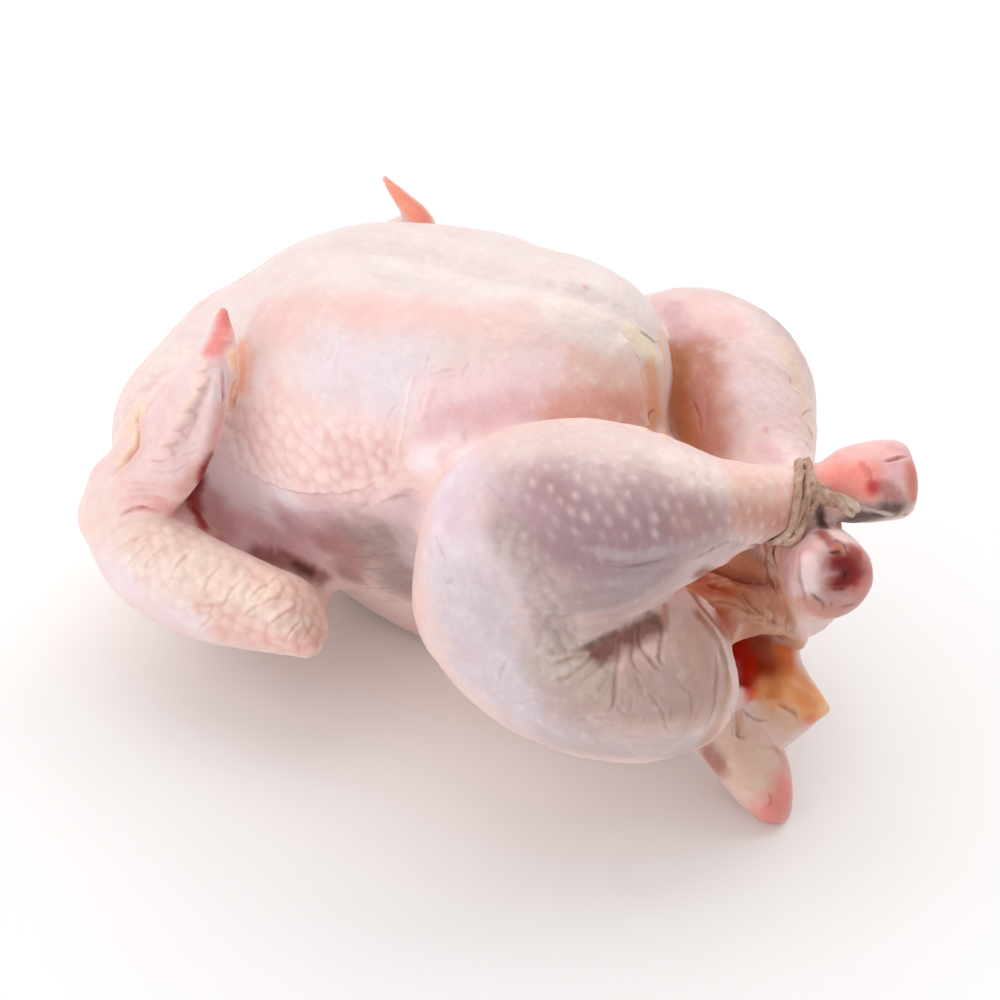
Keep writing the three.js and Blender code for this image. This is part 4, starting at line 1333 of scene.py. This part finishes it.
def drawn_tight(start, middle, gap):
    """Walks from points well outside straight towards the middle until the skin is `gap` away."""
    p, walking = start.copy(), np.ones(len(start), bool)
    for t in np.arange(0, 1, 0.01):
        p[walking] = start[walking] + t * (middle - start[walking])
        walking &= chicken_field(p.astype(np.float32)) >= gap
    return p


def ankle_loop(shift, gap):
    """A closed line round both ankles, `shift` mm along the drumsticks."""
    angle = np.arange(LOOP_POINTS) / LOOP_POINTS * 2 * math.pi
    height = LOOP_HEART[2] + LOOP_UP * np.sin(angle)
    share = np.clip((height - FAR_ANKLE[2]) / (NEAR_ANKLE[2] - FAR_ANKLE[2]), 0, 1)[:, None]
    across = unit_rows(FAR_ACROSS + (NEAR_ACROSS - FAR_ACROSS) * share)
    start = FAR_ANKLE + (NEAR_ANKLE - FAR_ANKLE) * share + across * (LOOP_OUT * np.cos(angle))[:, None]
    start[:, 2] = height
    loop = drawn_tight(start + (shift, 0, 0), LOOP_HEART + (shift, 0, 0), gap)
    loop = (2 * loop + np.roll(loop, 1, 0) + np.roll(loop, -1, 0)) / 4
    return np.vstack([loop, loop[:1]])


def wound(line, radius=PLY, wind=PLY_WIND, fray=0.0):
    """Three plies wound round a line; `fray` spreads and thins them at its end."""
    line = smooth_line(line, 3)
    ahead = unit_rows(np.gradient(line, axis=0))
    side = unit_rows(np.cross(ahead, (0.3, 0.2, 1)))
    other = np.cross(ahead, side)
    way = np.concatenate([[0], np.cumsum(np.linalg.norm(np.diff(line, axis=0), axis=1))])
    share = way / way[-1]
    plies = []
    for ply in range(3):
        turn = (way / PLY_PITCH + ply / 3) * 2 * math.pi
        spread = (wind * (1 + 2.2 * fray * share**3))[:, None]
        course = line + spread * (side * np.cos(turn)[:, None] + other * np.sin(turn)[:, None])
        thick = radius * (1 - 0.55 * fray * share**2) * (1 + 0.12 * noise(line, 2.3, ply * 9))
        plies.append(limb(np.hstack([course, thick[:, None]]), steps=1))
    return plies


# the two ends and the turns of the knot, as the points they pass through
KNUCKLE_END = [(2.5, -10.5, 108.4), (5, -9.8, 107.9), (8, -8, 106.8), (11, -6.2, 105.4), (12.8, -5.4, 104.6)]
SHANK_END = [(2.2, -12, 108.2), (1.6, -15.6, 108), (1.8, -18.9, 105), (1.2, -20, 101), (-0.4, -19.6, 97.6)]
KNOT_TURNS = [
    [(-1.5, -8.5, 112.4), (1.2, -10, 111.4), (3.6, -11.6, 109), (3.6, -13.4, 106), (1.6, -14.2, 104.4)],
    [(4.6, -8, 109.6), (3, -11, 110.2), (0.8, -13.8, 109), (0.4, -14.8, 106.4), (2.6, -13.8, 104.8)],
]


def twine_field():
    plies = wound(ankle_loop(-1.3, 1.2)) + wound(ankle_loop(1.3, 1.3))
    plies += wound(KNUCKLE_END, 1.25, 1.1, 0.2) + wound(SHANK_END, fray=0.4)
    for turn in KNOT_TURNS:
        plies += wound(turn)
    whole = melt_all(plies, PLY_MELT)
    return lambda p: np.maximum(whole(p), SKIN_GAP - chicken_field(p)).astype(np.float32)


def add_twine():
    field = twine_field()
    points, quads = quads_of(field, TWINE_LOW, TWINE_HIGH, TWINE_CELL)
    mesh = bpy.data.meshes.new("tied_twine")
    mesh.from_pydata(points.tolist(), [], quads.tolist())
    settle(mesh, field, TWINE_CELL / 4)
    p = vertices_of(mesh).astype(float)
    worn = 0.5 + 0.5 * noise(p, 2.2)
    tips = np.min([np.linalg.norm(p - end[-1], axis=1) for end in (KNUCKLE_END, SHANK_END)], axis=0)
    frayed = smoothstep(7, 1.5, tips)[:, None]
    dirty, clean, tip = srgb("ad8068"), srgb("dcb6a0"), srgb("ead6c6")
    colour = dirty + (clean - dirty) * worn[:, None]
    colour += (tip - colour) * frayed * 0.8
    add_piece("tied_twine", mesh, colour, twine_material(), "twine")


add_twine()


# ---- stage ----
def add_camera():
    data = bpy.data.cameras.new("camera")
    data.sensor_width = SENSOR
    data.lens = SENSOR * FOCAL / IMAGE
    camera = bpy.data.objects.new("camera", data)
    bpy.context.scene.collection.objects.link(camera)
    matrix = np.eye(4)
    matrix[:3, 0], matrix[:3, 1], matrix[:3, 2] = RIGHT, UP, -AHEAD
    matrix[:3, 3] = in_frame(EYE)
    camera.matrix_world = Matrix(matrix.tolist())
    bpy.context.scene.camera = camera


def add_floor():
    bpy.ops.mesh.primitive_plane_add(size=6, location=(0, 0, 0))
    floor = bpy.context.object
    floor.name = "floor"
    material, _, _, shader = nodes_of("pale_floor")
    set_inputs(shader, Base_Color=(0.97, 0.965, 0.96, 1), Roughness=0.9)
    floor.data.materials.append(material)
    floor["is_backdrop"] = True


def add_light(name, place, size, power):
    """A square lamp, turned to the origin: metres and watts."""
    data = bpy.data.lights.new(name, "AREA")
    data.size = size
    data.energy = power
    light = bpy.data.objects.new(name, data)
    bpy.context.scene.collection.objects.link(light)
    light.location = place
    light.rotation_euler = (-Vector(place)).to_track_quat("-Z", "Y").to_euler()


def add_lights():
    add_light("key", (-0.6, 0.25, 1.4), 1.6, 9.9)
    add_light("fill", (-0.9, -1.1, 0.9), 1.4, 8.0)
    add_light("back", (0.2, 1.2, 1.0), 1.3, 10)
    add_light("low", (-0.05, -1.25, 0.45), 1.0, 3.2)
    world = bpy.data.worlds.new("studio")
    bpy.context.scene.world = world
    world.use_nodes = True
    set_inputs(world.node_tree.nodes["Background"], Color=(1, 1, 1, 1), Strength=0.45)


add_camera()
add_floor()
add_lights()
bpy.context.scene.view_settings.view_transform = "Standard"

dressed_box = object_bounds()
boxes = {"cad": cad_box, "visual": dressed_box}
{name: [list(corner) for corner in box] for name, box in boxes.items()}
